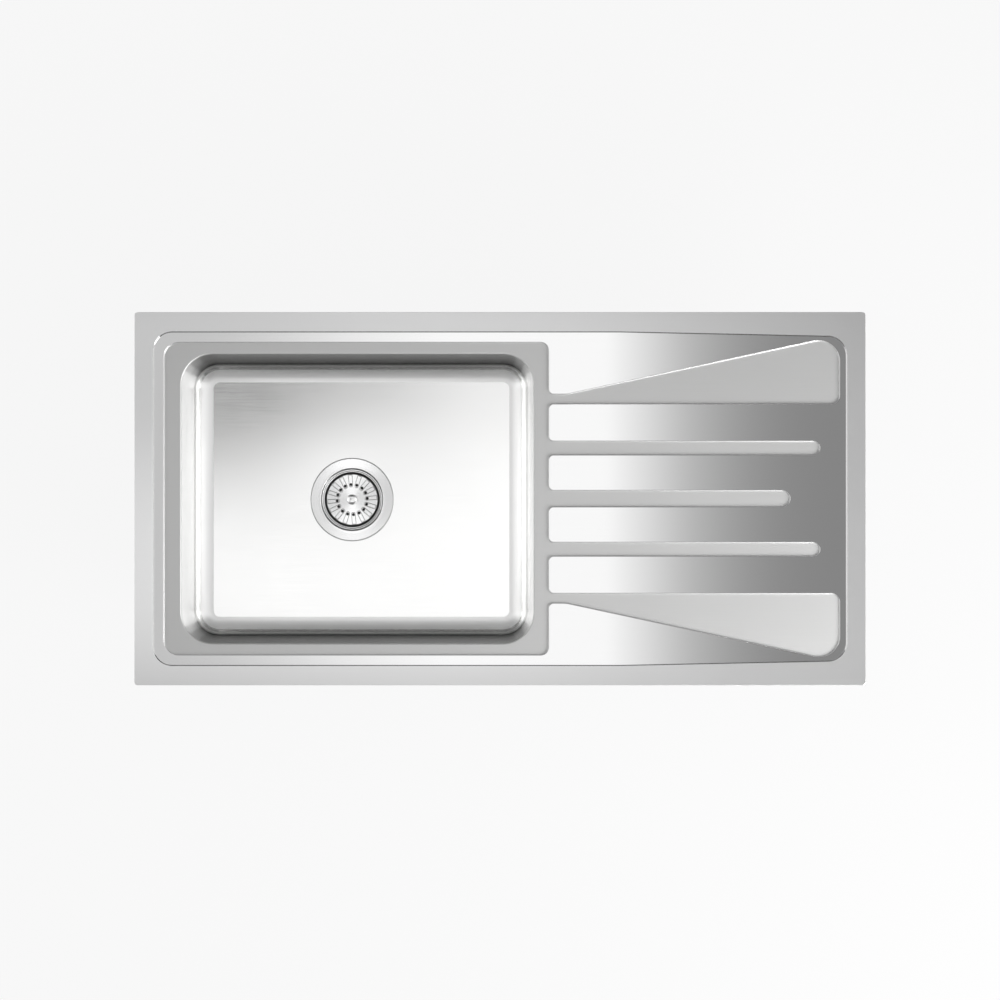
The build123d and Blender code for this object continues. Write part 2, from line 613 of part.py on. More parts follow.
def make_clamp_screw(name, side, along):
    """The long screw: its head lifts the claw, its thread climbs in the tab."""
    with BuildPart() as screw:
        with BuildSketch(side.offset(CLAW_BASE_Z)):
            with Locations((along, CLAMP_SCREW_OFFSET)):
                RegularPolygon(CLAMP_HEAD_FLATS / 2, 6, major_radius=False)
        extrude(amount=-CLAMP_HEAD_HEIGHT)
        chamfer(screw.faces().sort_by(Axis.Z)[0].edges(), CLAMP_HEAD_CHAMFER)
        with BuildSketch(side.offset(CLAW_BASE_Z)):
            with Locations((along, CLAMP_SCREW_OFFSET)):
                Circle(CLAMP_SCREW_RADIUS)
        extrude(amount=CLAMP_SCREW_LENGTH)
        chamfer(screw.faces().sort_by(Axis.Z)[-1].edges(), CLAMP_SCREW_CHAMFER)
        with BuildSketch(side.offset(CLAW_BASE_Z - CLAMP_HEAD_HEIGHT)):
            with Locations((along, CLAMP_SCREW_OFFSET)):
                Rectangle(2 * CLAMP_HEAD_FLATS, CLAMP_SCREW_SLOT)
        extrude(amount=CLAMP_SCREW_SLOT, mode=Mode.SUBTRACT)
    save(screw.part, name)


# ------------------------------------------------------------- basket strainer
def drain_axis():
    """The upright axis through the drain."""
    return Axis((DRAIN_X, 0, 0), (0, 0, 1))


def drain_plane(height):
    """A level plane on the drain's axis, height above the drain seat."""
    return Plane((DRAIN_X, 0, SEAT_Z + height))


def turn_plane():
    """The plane of a turned profile: local X is the radius, local Y the height
    above the drain seat."""
    return Plane((DRAIN_X, 0, SEAT_Z), x_dir=(1, 0, 0), z_dir=(0, -1, 0))


def make_seals():
    """The washer under the flange and the gasket under the bowl's floor."""
    for name, low, high in (
        ("flange_seal", 0, FLANGE_SEAL),
        ("body_gasket", -SHEET - BODY_GASKET, -SHEET),
    ):
        with BuildPart() as seal:
            with BuildSketch(turn_plane()):
                Polygon(
                    (SEAL_INNER_RADIUS, low), (SEAL_OUTER_RADIUS, low),
                    (SEAL_OUTER_RADIUS, high), (SEAL_INNER_RADIUS, high),
                )
            revolve(axis=drain_axis())
        save(seal.part, name)


def make_strainer_cup():
    """The steel flange with its cup: mouth, sloping basket seat, wall, holed floor."""
    sheet = FLANGE_SHEET
    flange_top = FLANGE_SEAL + sheet
    edge_top = flange_top - FLANGE_EDGE_DROP
    hole_radius = WASTE_SCREW_RADIUS + FIT_CLEARANCE
    floor = -CUP_DEPTH
    with BuildPart() as cup:
        with BuildSketch(turn_plane()):
            Polygon(
                (FLANGE_RADIUS, FLANGE_SEAL), (FLANGE_RADIUS, edge_top),
                (FLANGE_RADIUS - FLANGE_BEVEL, edge_top + FLANGE_BEVEL_RISE),
                (FLANGE_RADIUS - FLANGE_CROWN_WIDTH, flange_top + FLANGE_CROWN),
                (MOUTH_CUP_RADIUS + MOUTH_BEVEL, flange_top - MOUTH_LIP_DROP),
                (MOUTH_CUP_RADIUS, flange_top - MOUTH_BEVEL_DROP),
                (MOUTH_CUP_RADIUS, -BASKET_SEAT_TOP), (CUP_RADIUS, -BASKET_SEAT_BOTTOM),
                (CUP_RADIUS, floor),
                (DIMPLE_RADIUS, floor), (DIMPLE_RADIUS, floor - DIMPLE_DEPTH),
                (hole_radius, floor - DIMPLE_DEPTH), (hole_radius, floor - DIMPLE_DEPTH - sheet),
                (DIMPLE_RADIUS + sheet, floor - DIMPLE_DEPTH - sheet),
                (DIMPLE_RADIUS + sheet, floor - sheet), (CUP_RADIUS + sheet, floor - sheet),
                (CUP_RADIUS + sheet, -BASKET_SEAT_BOTTOM - sheet / 2),
                (MOUTH_CUP_RADIUS + sheet, -BASKET_SEAT_TOP - sheet / 2),
                (MOUTH_CUP_RADIUS + sheet, 0), (MOUTH_CUP_RADIUS + NECK_FLARE, FLANGE_SEAL),
            )
        revolve(axis=drain_axis())
        with BuildSketch(drain_plane(floor + 1)):
            with PolarLocations((DIMPLE_RADIUS + STOPPER_RADIUS) / 2, CUP_HOLES):
                Circle(CUP_HOLE_RADIUS)
        extrude(amount=-2 - sheet, mode=Mode.SUBTRACT)
    save(cup.part, "strainer_cup")


def make_waste_body():
    """The plastic funnel under the bowl, with its cross web and boss."""
    top = -SHEET - BODY_GASKET
    chamber = SEAL_INNER_RADIUS
    shoulder = BODY_SHOULDER_RISE - CUP_DEPTH
    neck = -CUP_DEPTH - BODY_CONE_DEPTH
    web_top = -CUP_DEPTH - DIMPLE_DEPTH - FLANGE_SHEET
    rib_length = chamber - WEB_THICKNESS
    with BuildPart() as body:
        with BuildSketch(turn_plane()):
            Polygon(
                (chamber, top), (FLANGE_RADIUS + BODY_FLANGE_MARGIN, top),
                (FLANGE_RADIUS + BODY_FLANGE_MARGIN, top - BODY_FLANGE_THICKNESS),
                (chamber + BODY_WALL, top - BODY_FLANGE_THICKNESS - BODY_WALL),
                (chamber + BODY_WALL, shoulder), (OUTLET_RADIUS + OUTLET_COLLAR, neck),
                (OUTLET_BORE_RADIUS, neck), (OUTLET_BORE_RADIUS, neck + 1), (chamber, shoulder + 1),
            )
        revolve(axis=drain_axis())
        with BuildSketch(drain_plane(web_top)):
            Circle(BOSS_RADIUS)
        extrude(amount=-BOSS_LENGTH)
        with BuildSketch(drain_plane(web_top - WEB_THICKNESS)):
            with PolarLocations(0, WEB_RIBS):
                with Locations((rib_length / 2, 0)):
                    Rectangle(rib_length, WEB_THICKNESS)
        extrude(amount=2 * WEB_THICKNESS - BOSS_LENGTH)
        with BuildSketch(turn_plane()):
            Polygon(
                (chamber + BODY_WALL, shoulder), (OUTLET_RADIUS + OUTLET_COLLAR, neck),
                (2 * chamber, neck), (2 * chamber, shoulder),
            )
        revolve(axis=drain_axis(), mode=Mode.SUBTRACT)
        with BuildSketch(drain_plane(web_top + 1)):
            Circle(WASTE_SCREW_RADIUS + FIT_CLEARANCE)
        extrude(amount=-BOSS_LENGTH - 2, mode=Mode.SUBTRACT)
        with BuildSketch(drain_plane(web_top - BOSS_LENGTH)):
            RegularPolygon(WASTE_NUT_FLATS / 2, 6, major_radius=False)
        extrude(amount=WASTE_NUT_HEIGHT, mode=Mode.SUBTRACT)
    save(body.part, "waste_body")


def make_waste_spigot():
    """The funnel's outlet: a straight tube with the trap's thread round its end."""
    neck = -CUP_DEPTH - BODY_CONE_DEPTH
    end = neck - BODY_NECK_LENGTH
    thread_top = end + OUTLET_THREAD_LENGTH
    with BuildPart() as spigot:
        with BuildSketch(turn_plane()):
            Polygon(
                (OUTLET_BORE_RADIUS, neck), (OUTLET_RADIUS + OUTLET_COLLAR, neck),
                (OUTLET_RADIUS + OUTLET_COLLAR, thread_top), (OUTLET_RADIUS, thread_top),
                (OUTLET_RADIUS, end), (OUTLET_BORE_RADIUS, end),
            )
        revolve(axis=drain_axis())
    save(spigot.part, "waste_spigot")


def make_waste_screw():
    """The central screw, hollow-headed so that the basket's stem can stand in it."""
    floor = -CUP_DEPTH - DIMPLE_DEPTH
    tip = floor - FLANGE_SHEET - BOSS_LENGTH
    with BuildPart() as screw:
        with BuildSketch(drain_plane(floor)):
            Circle(WASTE_SCREW_HEAD_RADIUS)
        extrude(amount=WASTE_SCREW_HEAD_HEIGHT)
        chamfer(screw.faces().sort_by(Axis.Z)[-1].edges(), WASTE_SCREW_CHAMFER)
        with BuildSketch(drain_plane(floor)):
            Circle(WASTE_SCREW_RADIUS)
        extrude(amount=tip - floor)
        with BuildSketch(drain_plane(floor + WASTE_SCREW_HEAD_HEIGHT)):
            RegularPolygon(STEM_RADIUS + 2 * FIT_CLEARANCE, 6, major_radius=False)
        extrude(amount=-SOCKET_DEPTH, mode=Mode.SUBTRACT)
    save(screw.part, "waste_screw")


def make_waste_nut():
    """The brass nut held in the boss."""
    nut_bottom = -CUP_DEPTH - DIMPLE_DEPTH - FLANGE_SHEET - BOSS_LENGTH
    with BuildPart() as nut:
        with BuildSketch(drain_plane(nut_bottom)):
            RegularPolygon(WASTE_NUT_FLATS / 2, 6, major_radius=False)
            Circle(WASTE_SCREW_RADIUS, mode=Mode.SUBTRACT)
        extrude(amount=WASTE_NUT_HEIGHT)
    save(nut.part, "waste_nut")


# ---------------------------------------------------------------- lift-out basket
PLATE_RADIUS = CUP_RADIUS - PLATE_MARGIN
RIM_RING_RADIUS = CUP_RADIUS + RIM_RING_LAP
BASKET_RADIUS = CUP_RADIUS - BASKET_MARGIN
BASKET_FOOT_RADIUS = BASKET_RADIUS - BASKET_TAPER
STOPPER_RADIUS = CUP_RADIUS - STOPPER_MARGIN
PLATE_TOP = -BASKET_DROP
PLATE_BOTTOM = PLATE_TOP - BASKET_SHEET
RING_BOTTOM = PLATE_BOTTOM - RIM_RING_THICKNESS
STOPPER_BOTTOM = -CUP_DEPTH + SEAT_GAP
STOPPER_TOP = STOPPER_BOTTOM + STOPPER_THICKNESS
BASKET_FLOOR = STOPPER_TOP + BASKET_SHEET


def make_basket_plate():
    """The holed top plate with its radial flutes."""
    groove_start = FLUTE_HOLE_RADIUS + FLUTE_HOLE_LENGTH / 2
    groove_length = PLATE_RADIUS - FLUTE_END_MARGIN - groove_start
    with BuildPart() as plate:
        with BuildSketch(drain_plane(PLATE_BOTTOM)):
            Circle(PLATE_RADIUS)
            Circle(STEM_RADIUS, mode=Mode.SUBTRACT)
            with PolarLocations(FLUTE_HOLE_RADIUS, FLUTES, start_angle=FLUTE_START_ANGLE):
                RectangleRounded(
                    FLUTE_HOLE_LENGTH, FLUTE_WIDTH - FLUTE_HOLE_INSET, FLUTE_HOLE_CORNER_RADIUS,
                    mode=Mode.SUBTRACT,
                )
        extrude(amount=BASKET_SHEET)
        with BuildSketch(drain_plane(PLATE_TOP)):
            with PolarLocations(
                groove_start + groove_length / 2, FLUTES, start_angle=FLUTE_START_ANGLE
            ):
                Rectangle(groove_length, FLUTE_WIDTH)
        extrude(amount=-FLUTE_DEPTH, mode=Mode.SUBTRACT)
    save(plate.part, "basket_plate")


def basket_seat_height(radius):
    """Height of the cup's sloping seat at a radius, above the drain seat."""
    slope = (BASKET_SEAT_BOTTOM - BASKET_SEAT_TOP) / BASKET_SEAT_WIDTH
    return -BASKET_SEAT_TOP - (MOUTH_CUP_RADIUS - radius) * slope


def make_basket_rim_ring():
    """The rubber ring that rests on the cup's sloping seat."""
    inner = BASKET_RADIUS - BASKET_FLANGE
    edge_bottom = basket_seat_height(RIM_RING_RADIUS) + SEAT_GAP
    with BuildPart() as ring:
        with BuildSketch(turn_plane()):
            Polygon(
                (inner, PLATE_BOTTOM), (RIM_RING_RADIUS, PLATE_BOTTOM),
                (RIM_RING_RADIUS, edge_bottom), (CUP_RADIUS - WALL_GAP, RING_BOTTOM + SEAT_GAP),
                (CUP_RADIUS - 2 * WALL_GAP, RING_BOTTOM), (inner, RING_BOTTOM),
            )
        revolve(axis=drain_axis())
    save(ring.part, "basket_rim_ring")


def make_basket_cup():
    """The perforated cup that catches what the plate lets through."""
    sheet = BASKET_SHEET
    top = RING_BOTTOM
    flange_radius = BASKET_RADIUS + BASKET_FLANGE
    slot_height = top - BASKET_FLOOR - BASKET_SLOT_RISE - BASKET_SLOT_DROP
    with BuildPart() as cup:
        with BuildSketch(turn_plane()):
            Polygon(
                (flange_radius, top), (BASKET_RADIUS - sheet, top),
                (BASKET_FOOT_RADIUS - sheet, BASKET_FLOOR), (STEM_RADIUS, BASKET_FLOOR),
                (STEM_RADIUS, BASKET_FLOOR - sheet), (BASKET_FOOT_RADIUS, BASKET_FLOOR - sheet),
                (BASKET_RADIUS, top - sheet), (flange_radius, top - sheet),
            )
        revolve(axis=drain_axis())
        with BuildSketch(drain_plane(BASKET_FLOOR + BASKET_SLOT_RISE)):
            with PolarLocations(BASKET_RADIUS, BASKET_SLOTS):
                Rectangle(BASKET_SLOT_REACH, BASKET_SLOT_WIDTH)
        extrude(amount=slot_height, mode=Mode.SUBTRACT)
        with BuildSketch(drain_plane(BASKET_FLOOR + 1)):
            for inset, holes in BASKET_HOLE_ROWS:
                with PolarLocations(STOPPER_RADIUS - inset, holes):
                    Circle(BASKET_HOLE_RADIUS)
        extrude(amount=-2 - sheet, mode=Mode.SUBTRACT)
    save(cup.part, "basket_cup")


def make_basket_stem():
    """The rod from the knob to the tip, thick where it spaces plate and cup apart."""
    tip = -CUP_DEPTH - DIMPLE_DEPTH + WASTE_SCREW_HEAD_HEIGHT - STEM_TIP
    with BuildPart() as stem:
        with BuildSketch(drain_plane(tip)):
            Circle(STEM_RADIUS)
        extrude(amount=PLATE_TOP + KNOB_HEIGHT / 2 - tip)
        chamfer(stem.faces().sort_by(Axis.Z)[0].edges(), STEM_CHAMFER)
        with BuildSketch(drain_plane(BASKET_FLOOR)):
            Circle(STEM_SPACER_RADIUS)
        extrude(amount=PLATE_BOTTOM - BASKET_FLOOR)
    save(stem.part, "basket_stem")


def make_basket_stopper():
    """The rubber disc that closes the holes in the cup's floor."""
    with BuildPart() as stopper:
        with BuildSketch(turn_plane()):
            Polygon(
                (STEM_RADIUS, STOPPER_TOP), (STOPPER_RADIUS - STOPPER_BEVEL, STOPPER_TOP),
                (STOPPER_RADIUS, STOPPER_TOP - STOPPER_BEVEL), (STOPPER_RADIUS, STOPPER_BOTTOM),
                (STEM_RADIUS, STOPPER_BOTTOM),
            )
        revolve(axis=drain_axis())
    save(stopper.part, "basket_stopper")


def make_basket_nut():
    """The round nut that holds stopper and cup on the stem."""
    with BuildPart() as nut:
        with BuildSketch(drain_plane(STOPPER_BOTTOM)):
            Circle(BASKET_NUT_RADIUS)
            Circle(STEM_RADIUS, mode=Mode.SUBTRACT)
        extrude(amount=-BASKET_NUT_HEIGHT)
        chamfer(nut.faces().sort_by(Axis.Z)[0].outer_wire().edges(), BASKET_NUT_CHAMFER)
    save(nut.part, "basket_nut")


def make_basket_knob():
    """The turned knob that lifts the basket."""
    top = PLATE_TOP + KNOB_HEIGHT
    stem_end = PLATE_TOP + KNOB_HEIGHT / 2
    dome_radius = (KNOB_RADIUS**2 + KNOB_DOME**2) / (2 * KNOB_DOME)
    head_edge = top - KNOB_DOME - KNOB_GRIP
    foot_radius = KNOB_NECK_RADIUS + KNOB_COLLAR
    middle = KNOB_RADIUS / 2
    middle_drop = dome_radius - math.sqrt(dome_radius**2 - middle**2)
    with BuildPart() as knob:
        with BuildSketch(turn_plane()):
            with BuildLine():
                Polyline(
                    (0, top), (0, stem_end), (STEM_RADIUS, stem_end), (STEM_RADIUS, PLATE_TOP),
                    (foot_radius, PLATE_TOP), (foot_radius, PLATE_TOP + KNOB_COLLAR_HEIGHT),
                    (KNOB_NECK_RADIUS, PLATE_TOP + KNOB_COLLAR_HEIGHT + KNOB_COLLAR_SLOPE),
                    (KNOB_NECK_RADIUS, head_edge - KNOB_UNDERCUT),
                    (KNOB_RADIUS, head_edge), (KNOB_RADIUS, top - KNOB_DOME),
                )
                ThreePointArc((KNOB_RADIUS, top - KNOB_DOME), (middle, top - middle_drop), (0, top))
            make_face()
        revolve(axis=drain_axis())
    save(knob.part, "basket_knob")


# ------------------------------------------------------------------- everything
os.makedirs("parts", exist_ok=True)
make_deck()
make_bowl()
make_bowl_pad()
make_drainer_pads()
make_sealing_strip()
for rail_name, (rail_side, rail_length, rail_places) in RAILS.items():
    make_rail(rail_name, rail_side, rail_length, rail_places)
for number, (clip_side, clip_along) in enumerate(CLIP_PLACES, start=1):
    make_bracket(f"clip_bracket_{number}", clip_side, clip_along)
    make_claw(f"clip_claw_{number}", clip_side, clip_along)
    make_clamp_screw(f"clip_screw_{number}", clip_side, clip_along)
make_seals()
make_strainer_cup()
make_waste_body()
make_waste_spigot()
make_waste_screw()
make_waste_nut()
make_basket_plate()
make_basket_rim_ring()
make_basket_cup()
make_basket_stem()
make_basket_stopper()
make_basket_nut()
make_basket_knob()
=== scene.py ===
# %% [markdown]
# # A kitchen sink with a drainboard
# An inset sink is pressed from one sheet of stainless steel about a millimetre thick.
# Its deck has four levels: a satin rim that lies on the worktop, a bright polished
# plateau one step down, a satin ring and channels that lead water to the bowl, and
# the deep-drawn bowl itself.  A basket strainer closes the drain.  The engineering
# model is loaded first as the frame; every visible skin is then built round it.

# %% Load the frame
import math

import bpy
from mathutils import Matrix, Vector
from mathutils.geometry import tessellate_polygon


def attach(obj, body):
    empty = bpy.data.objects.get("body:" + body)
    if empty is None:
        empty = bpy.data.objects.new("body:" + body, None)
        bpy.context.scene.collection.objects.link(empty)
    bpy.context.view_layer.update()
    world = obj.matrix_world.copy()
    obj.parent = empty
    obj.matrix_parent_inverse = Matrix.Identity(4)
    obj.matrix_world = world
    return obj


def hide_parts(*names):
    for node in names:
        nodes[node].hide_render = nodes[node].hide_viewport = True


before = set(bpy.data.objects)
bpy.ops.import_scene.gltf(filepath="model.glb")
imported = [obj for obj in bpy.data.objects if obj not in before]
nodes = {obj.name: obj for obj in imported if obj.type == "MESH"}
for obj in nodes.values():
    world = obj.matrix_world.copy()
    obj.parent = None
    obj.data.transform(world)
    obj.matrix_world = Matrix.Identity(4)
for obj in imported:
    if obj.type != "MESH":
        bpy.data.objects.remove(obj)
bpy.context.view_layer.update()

# %% [markdown]
# ## The sizes, in millimetres
# A maker would read these from the drawing.  The origin is the middle of the outline
# in the plane of the worktop; +X runs from the bowl to the drainboard, +Y to the back.

# %% Sizes
MM = 0.001
SHEET = 1.0
RIM_TOP, PLATEAU, RECESS = 4.0, 1.5, -1.5     # heights of the three levels
FOLD_GAP = 0.4                                # the folded edge ends this far up
RIM_EDGE = 0.5
BEND = 0.45                                   # outer radius of every pressed bend
BEND_ROWS = 5                                 # faces round each of them
PRESS_SLOPE = math.radians(66.0)              # slope of the pressed steps
STEP_DEPTH = RIM_TOP - PLATEAU
RECESS_DEPTH = PLATEAU - RECESS
BOWL_EDGE = 2.2                               # radius over which the deck rolls down
LIP = -7.0                                    # the bowl is welded on here
DRAIN = Vector((-204.0, 0.0))
FLOOR, SEAT = -196.0, -198.6                  # bowl floor by the drain, drain seat
SEAT_RADIUS, DRAIN_HOLE = 57.1, 45.0
SEAT_BEND = 0.3
FALL = math.tan(math.radians(1.0))            # slope of the bowl's floor
DRAFT = math.tan(math.radians(3.0))           # lean of its walls
FLOOR_RADIUS = 25.0

# each outline: corners (x, y, radius), anticlockwise
OUTLINE = [(-490, -250, 5), (490, -250, 5), (490, 250, 5), (-490, 250, 5)]
STEP = [(-465, -224, 26), (161, -224, 300), (465, -217.5, 26),
        (465, 217.5, 26), (161, 224, 300), (-465, 224, 26)]
OPENING = [(-427, -194, 42), (45, -194, 42), (45, 194, 42), (-427, 194, 42)]
RECESS_BELOW = [
    (-451, -210, 21), (66, -210, 11.5), (66, -140.5, 6), (89, -140.5, 40),
    (455.4, -218.9, 28), (455.4, -126.5, 11.5), (66, -126.5, 6), (66, -77.55, 6),
    (429, -77.55, 9.75), (429, -58.05, 9.75), (66, -58.05, 6), (66, -11.5, 6),
    (389, -11.5, 11.5),
]
RECESS_LINE = RECESS_BELOW + [(x, -y, r) for x, y, r in reversed(RECESS_BELOW)]
print("corners in the recess outline:", len(RECESS_LINE))

# %% [markdown]
# ## The camera
# The photograph looks straight down with almost no convergence: the bowl's walls are
# thin slivers.  A long lens eight metres up gives the same view.

# %% Camera
CAMERA_HEIGHT = 8.0
SENSOR = 36.0
WIDTH_SEEN = 1.3395                           # metres across the frame at the rim
camera = bpy.data.cameras.new("camera")
camera.sensor_width = SENSOR
camera.lens = SENSOR * CAMERA_HEIGHT / WIDTH_SEEN
camera.clip_end = 60.0
camera_object = bpy.data.objects.new("camera", camera)
bpy.context.scene.collection.objects.link(camera_object)
CENTRE_SEEN = Vector((0.0002, -0.0018))       # what the frame's middle shows
FOOT = Vector((0.043, -0.050))                # the camera stands a little off that
camera_object.location = (*FOOT, CAMERA_HEIGHT + RIM_TOP * MM)
off = (FOOT - CENTRE_SEEN) / CAMERA_HEIGHT
camera_object.rotation_euler = (math.atan(-off.y), math.atan(off.x), 0.0)
bpy.context.scene.camera = camera_object
bpy.context.scene.view_settings.view_transform = "Standard"
print("lens:", round(camera.lens, 1), "mm")

# %% [markdown]
# ## Small helpers for node trees
# Every finish is a node tree.  Short helpers keep them readable: they add a node and
# set its inputs, do one sum, carry a range over to another, or read the place on the
# object.


# %% Node helpers
def add_node(tree, kind, inputs=None, **settings):
    """Add a node, set its own settings, then its inputs: a value, or a socket to link."""
    node = tree.nodes.new(kind)
    for name, value in settings.items():
        setattr(node, name, value)
    for name, value in (inputs or {}).items():
        if isinstance(value, bpy.types.NodeSocket):
            tree.links.new(value, node.inputs[name])
        else:
            node.inputs[name].default_value = value
    return node


def maths(tree, operation, first, second=0.0):
    """One Math node; returns its output socket."""
    return add_node(tree, "ShaderNodeMath", {0: first, 1: second},
                    operation=operation).outputs[0]


def fit(tree, value, low, high, start=0.0, end=1.0):
    """Carry a value from start..end over to low..high, clamped."""
    return add_node(tree, "ShaderNodeMapRange", {
        "Value": value, "From Min": start, "From Max": end, "To Min": low, "To Max": high,
    }).outputs["Result"]


def own_place(tree):
    """The place on the object itself, in metres; returns a vector socket."""
    return add_node(tree, "ShaderNodeTexCoord").outputs["Object"]


def own_axes(tree):
    """The same place as three sockets named X, Y and Z."""
    return add_node(tree, "ShaderNodeSeparateXYZ", {"Vector": own_place(tree)}).outputs


def mix_colours(tree, mask, first, second):
    """Blend two plain colours by a mask; returns the colour socket."""
    return add_node(tree, "ShaderNodeMix", {0: mask, 6: (*first, 1.0), 7: (*second, 1.0)},
                    data_type="RGBA").outputs[2]


def raise_surface(tree, shader, height, depth):
    """Drive the shader's normal by a height through one Bump node."""
    bump = add_node(tree, "ShaderNodeBump", {"Height": height, "Distance": depth})
    tree.links.new(bump.outputs["Normal"], shader.inputs["Normal"])


print("node helpers ready")

# %% [markdown]
# ## Groups and materials
# The next helpers make a shader group, place it in a material, and make a material
# that reflects or one that only glows.


# %% Group and material helpers
def new_group(name, inputs, outputs):
    """A shader group with float inputs (name: default) and named outputs."""
    group = bpy.data.node_groups.new(name, "ShaderNodeTree")
    for label, value in inputs.items():
        socket = group.interface.new_socket(
            label, in_out="INPUT", socket_type="NodeSocketFloat")
        socket.default_value = value
    for label in outputs:
        group.interface.new_socket(label, in_out="OUTPUT", socket_type="NodeSocketFloat")
    return group, group.nodes.new("NodeGroupInput"), group.nodes.new("NodeGroupOutput")


def use_group(tree, group, **values):
    """Place a group in a material with its own values; returns its outputs."""
    node = tree.nodes.new("ShaderNodeGroup")
    node.node_tree = group
    for label, value in values.items():
        node.inputs[label.replace("_", " ")].default_value = value
    return node.outputs


def new_material(name, colour, metallic=0.0, roughness=0.5, **sockets):
    """A material with one Principled shader; returns material, tree and shader."""
    material = bpy.data.materials.new(name)
    material.use_nodes = True
    tree = material.node_tree
    shader = tree.nodes["Principled BSDF"]
    shader.inputs["Base Color"].default_value = (*colour, 1.0)
    shader.inputs["Metallic"].default_value = metallic
    shader.inputs["Roughness"].default_value = roughness
    for label, value in sockets.items():
        shader.inputs[label.replace("_", " ")].default_value = value
    material.diffuse_color = (*colour, 1.0)
    return material, tree, shader


def glow_material(name, level=1.0):
    """A material that only glows; returns material, tree and its emission shader."""
    material = bpy.data.materials.new(name)
    material.use_nodes = True
    tree = material.node_tree
    tree.nodes.remove(tree.nodes["Principled BSDF"])
    glow = add_node(tree, "ShaderNodeEmission", {"Color": (level, level, level, 1.0)})
    tree.links.new(glow.outputs[0], tree.nodes["Material Output"].inputs["Surface"])
    return material, tree, glow


print("group and material helpers ready")

# %% [markdown]
# ## The studio
# Bright steel shows its surroundings and little else, so the studio is designed as a
# set of reflections.  One large panel hangs overhead.  It is brightest just right of
# the bowl and falls off over the drainboard, which gives the plateau its long shade
# from white to mid grey.  A softbox over the bowl is bright in front and weak at the
# back left.  Bright panels at both ends, and grey screens at the right, the back and
# the front, put thin lines into the pressed steps.  The camera sees none of them.


# %% Panels
OVERHEAD_ENDS = (-1.2, 1.6)                   # the shade's reach along X, in metres
OVERHEAD_SHADE = [                            # (metres along X, brightness)
    (-1.10, 0.6), (-0.80, 0.62), (-0.62, 0.57), (-0.50, 0.56), (-0.40, 0.62),
    (-0.25, 0.84), (0.0, 1.10), (0.10, 1.24), (0.18, 0.93), (0.28, 0.49),
    (0.40, 0.27), (0.52, 0.24), (0.70, 0.26), (0.92, 0.30), (1.15, 0.6), (1.50, 0.9),
]
OVERHEAD_MIDDLE = 0.045                       # its bright stripe's middle along Y
STRIPE_START, STRIPE_END = 0.31, 0.44         # from full light to dark, off that middle
DARK_SHARE = 0.15


def panel(name, size, place, turn, material):
    """A flat panel that only reflections and shading see."""
    mesh = bpy.data.meshes.new(name)
    half_x, half_y = size[0] / 2, size[1] / 2
    mesh.from_pydata([(-half_x, -half_y, 0), (half_x, -half_y, 0),
                      (half_x, half_y, 0), (-half_x, half_y, 0)], [], [(0, 1, 2, 3)])
    mesh.materials.append(material)
    made = bpy.data.objects.new(name, mesh)
    made.location = place
    made.rotation_euler = [math.radians(angle) for angle in turn]
    made.visible_camera = False
    bpy.context.scene.collection.objects.link(made)
    return made


def overhead_material():
    """The overhead panel's light: a long shade along X, dark towards the back and front."""
    material, tree, glow = glow_material("overhead")
    axes = own_axes(tree)
    low, high = OVERHEAD_ENDS
    shade = add_node(tree, "ShaderNodeValToRGB",
                     {"Fac": fit(tree, axes["X"], 0.0, 1.0, low, high)})
    ramp = shade.color_ramp
    ramp.interpolation = "B_SPLINE"
    while len(ramp.elements) < len(OVERHEAD_SHADE):
        ramp.elements.new(0.5)
    for element, (place, level) in zip(ramp.elements, OVERHEAD_SHADE):
        element.position = (place - low) / (high - low)
        element.color = (level, level, level, 1.0)
    off_middle = maths(tree, "ABSOLUTE", maths(tree, "SUBTRACT", axes["Y"], OVERHEAD_MIDDLE))
    stripe = fit(tree, off_middle, 1.0, DARK_SHARE, STRIPE_START, STRIPE_END)
    tree.links.new(shade.outputs["Color"], glow.inputs["Color"])
    tree.links.new(stripe, glow.inputs["Strength"])
    return material


def bowl_lamp_material():
    """The softbox over the bowl: bright in front, weak at the back left."""
    material, tree, glow = glow_material("bowl lamp")
    axes = own_axes(tree)
    front = fit(tree, axes["Y"], 0.0, 1.0, 0.13, -0.01)
    right = fit(tree, axes["X"], 0.0, 0.70, -0.13, 0.15)
    share = maths(tree, "MINIMUM", maths(tree, "ADD", front, right), 1.0)
    tree.links.new(fit(tree, share, 0.11, 1.10), glow.inputs["Strength"])
    return material


panel("overhead panel", (4.0, 3.0), (0.0, 0.0, 1.2), (0, 0, 0), overhead_material())
panel("bowl lamp", (0.54, 0.44), (-0.235, 0.0, 1.19), (0, 0, 0), bowl_lamp_material())
for name, size, place, turn, level in (
        ("right panel", (0.6, 2.4), (2.2, 0.0, 0.90), (0, -90, 0), 3.0),
        ("right screen", (0.86, 3.6), (2.21, 0.0, 0.16), (0, -90, 0), 0.35),
        ("left panel", (1.6, 2.4), (-2.2, 0.0, 0.55), (0, 90, 0), 1.6),
        ("back screen", (4.4, 1.5), (0.0, 1.8, 0.46), (90, 0, 0), 0.40),
        ("front screen", (4.4, 1.5), (0.0, -1.8, 0.46), (-90, 0, 0), 0.40)):
    panel(name, size, place, turn, glow_material(name, level)[0])
print("panels and screens:", len(bpy.data.materials))

# %% [markdown]
# ## Lamps, world and floor
# A soft key from the lower right lifts the satin parts.  The side lamps and end lamps
# are there for the bowl, and are tied to their pieces further down.  The floor is near
# white to the eye and in reflections, keeps the sink's shadow, and is clear from below,
# so that the underside can be seen.


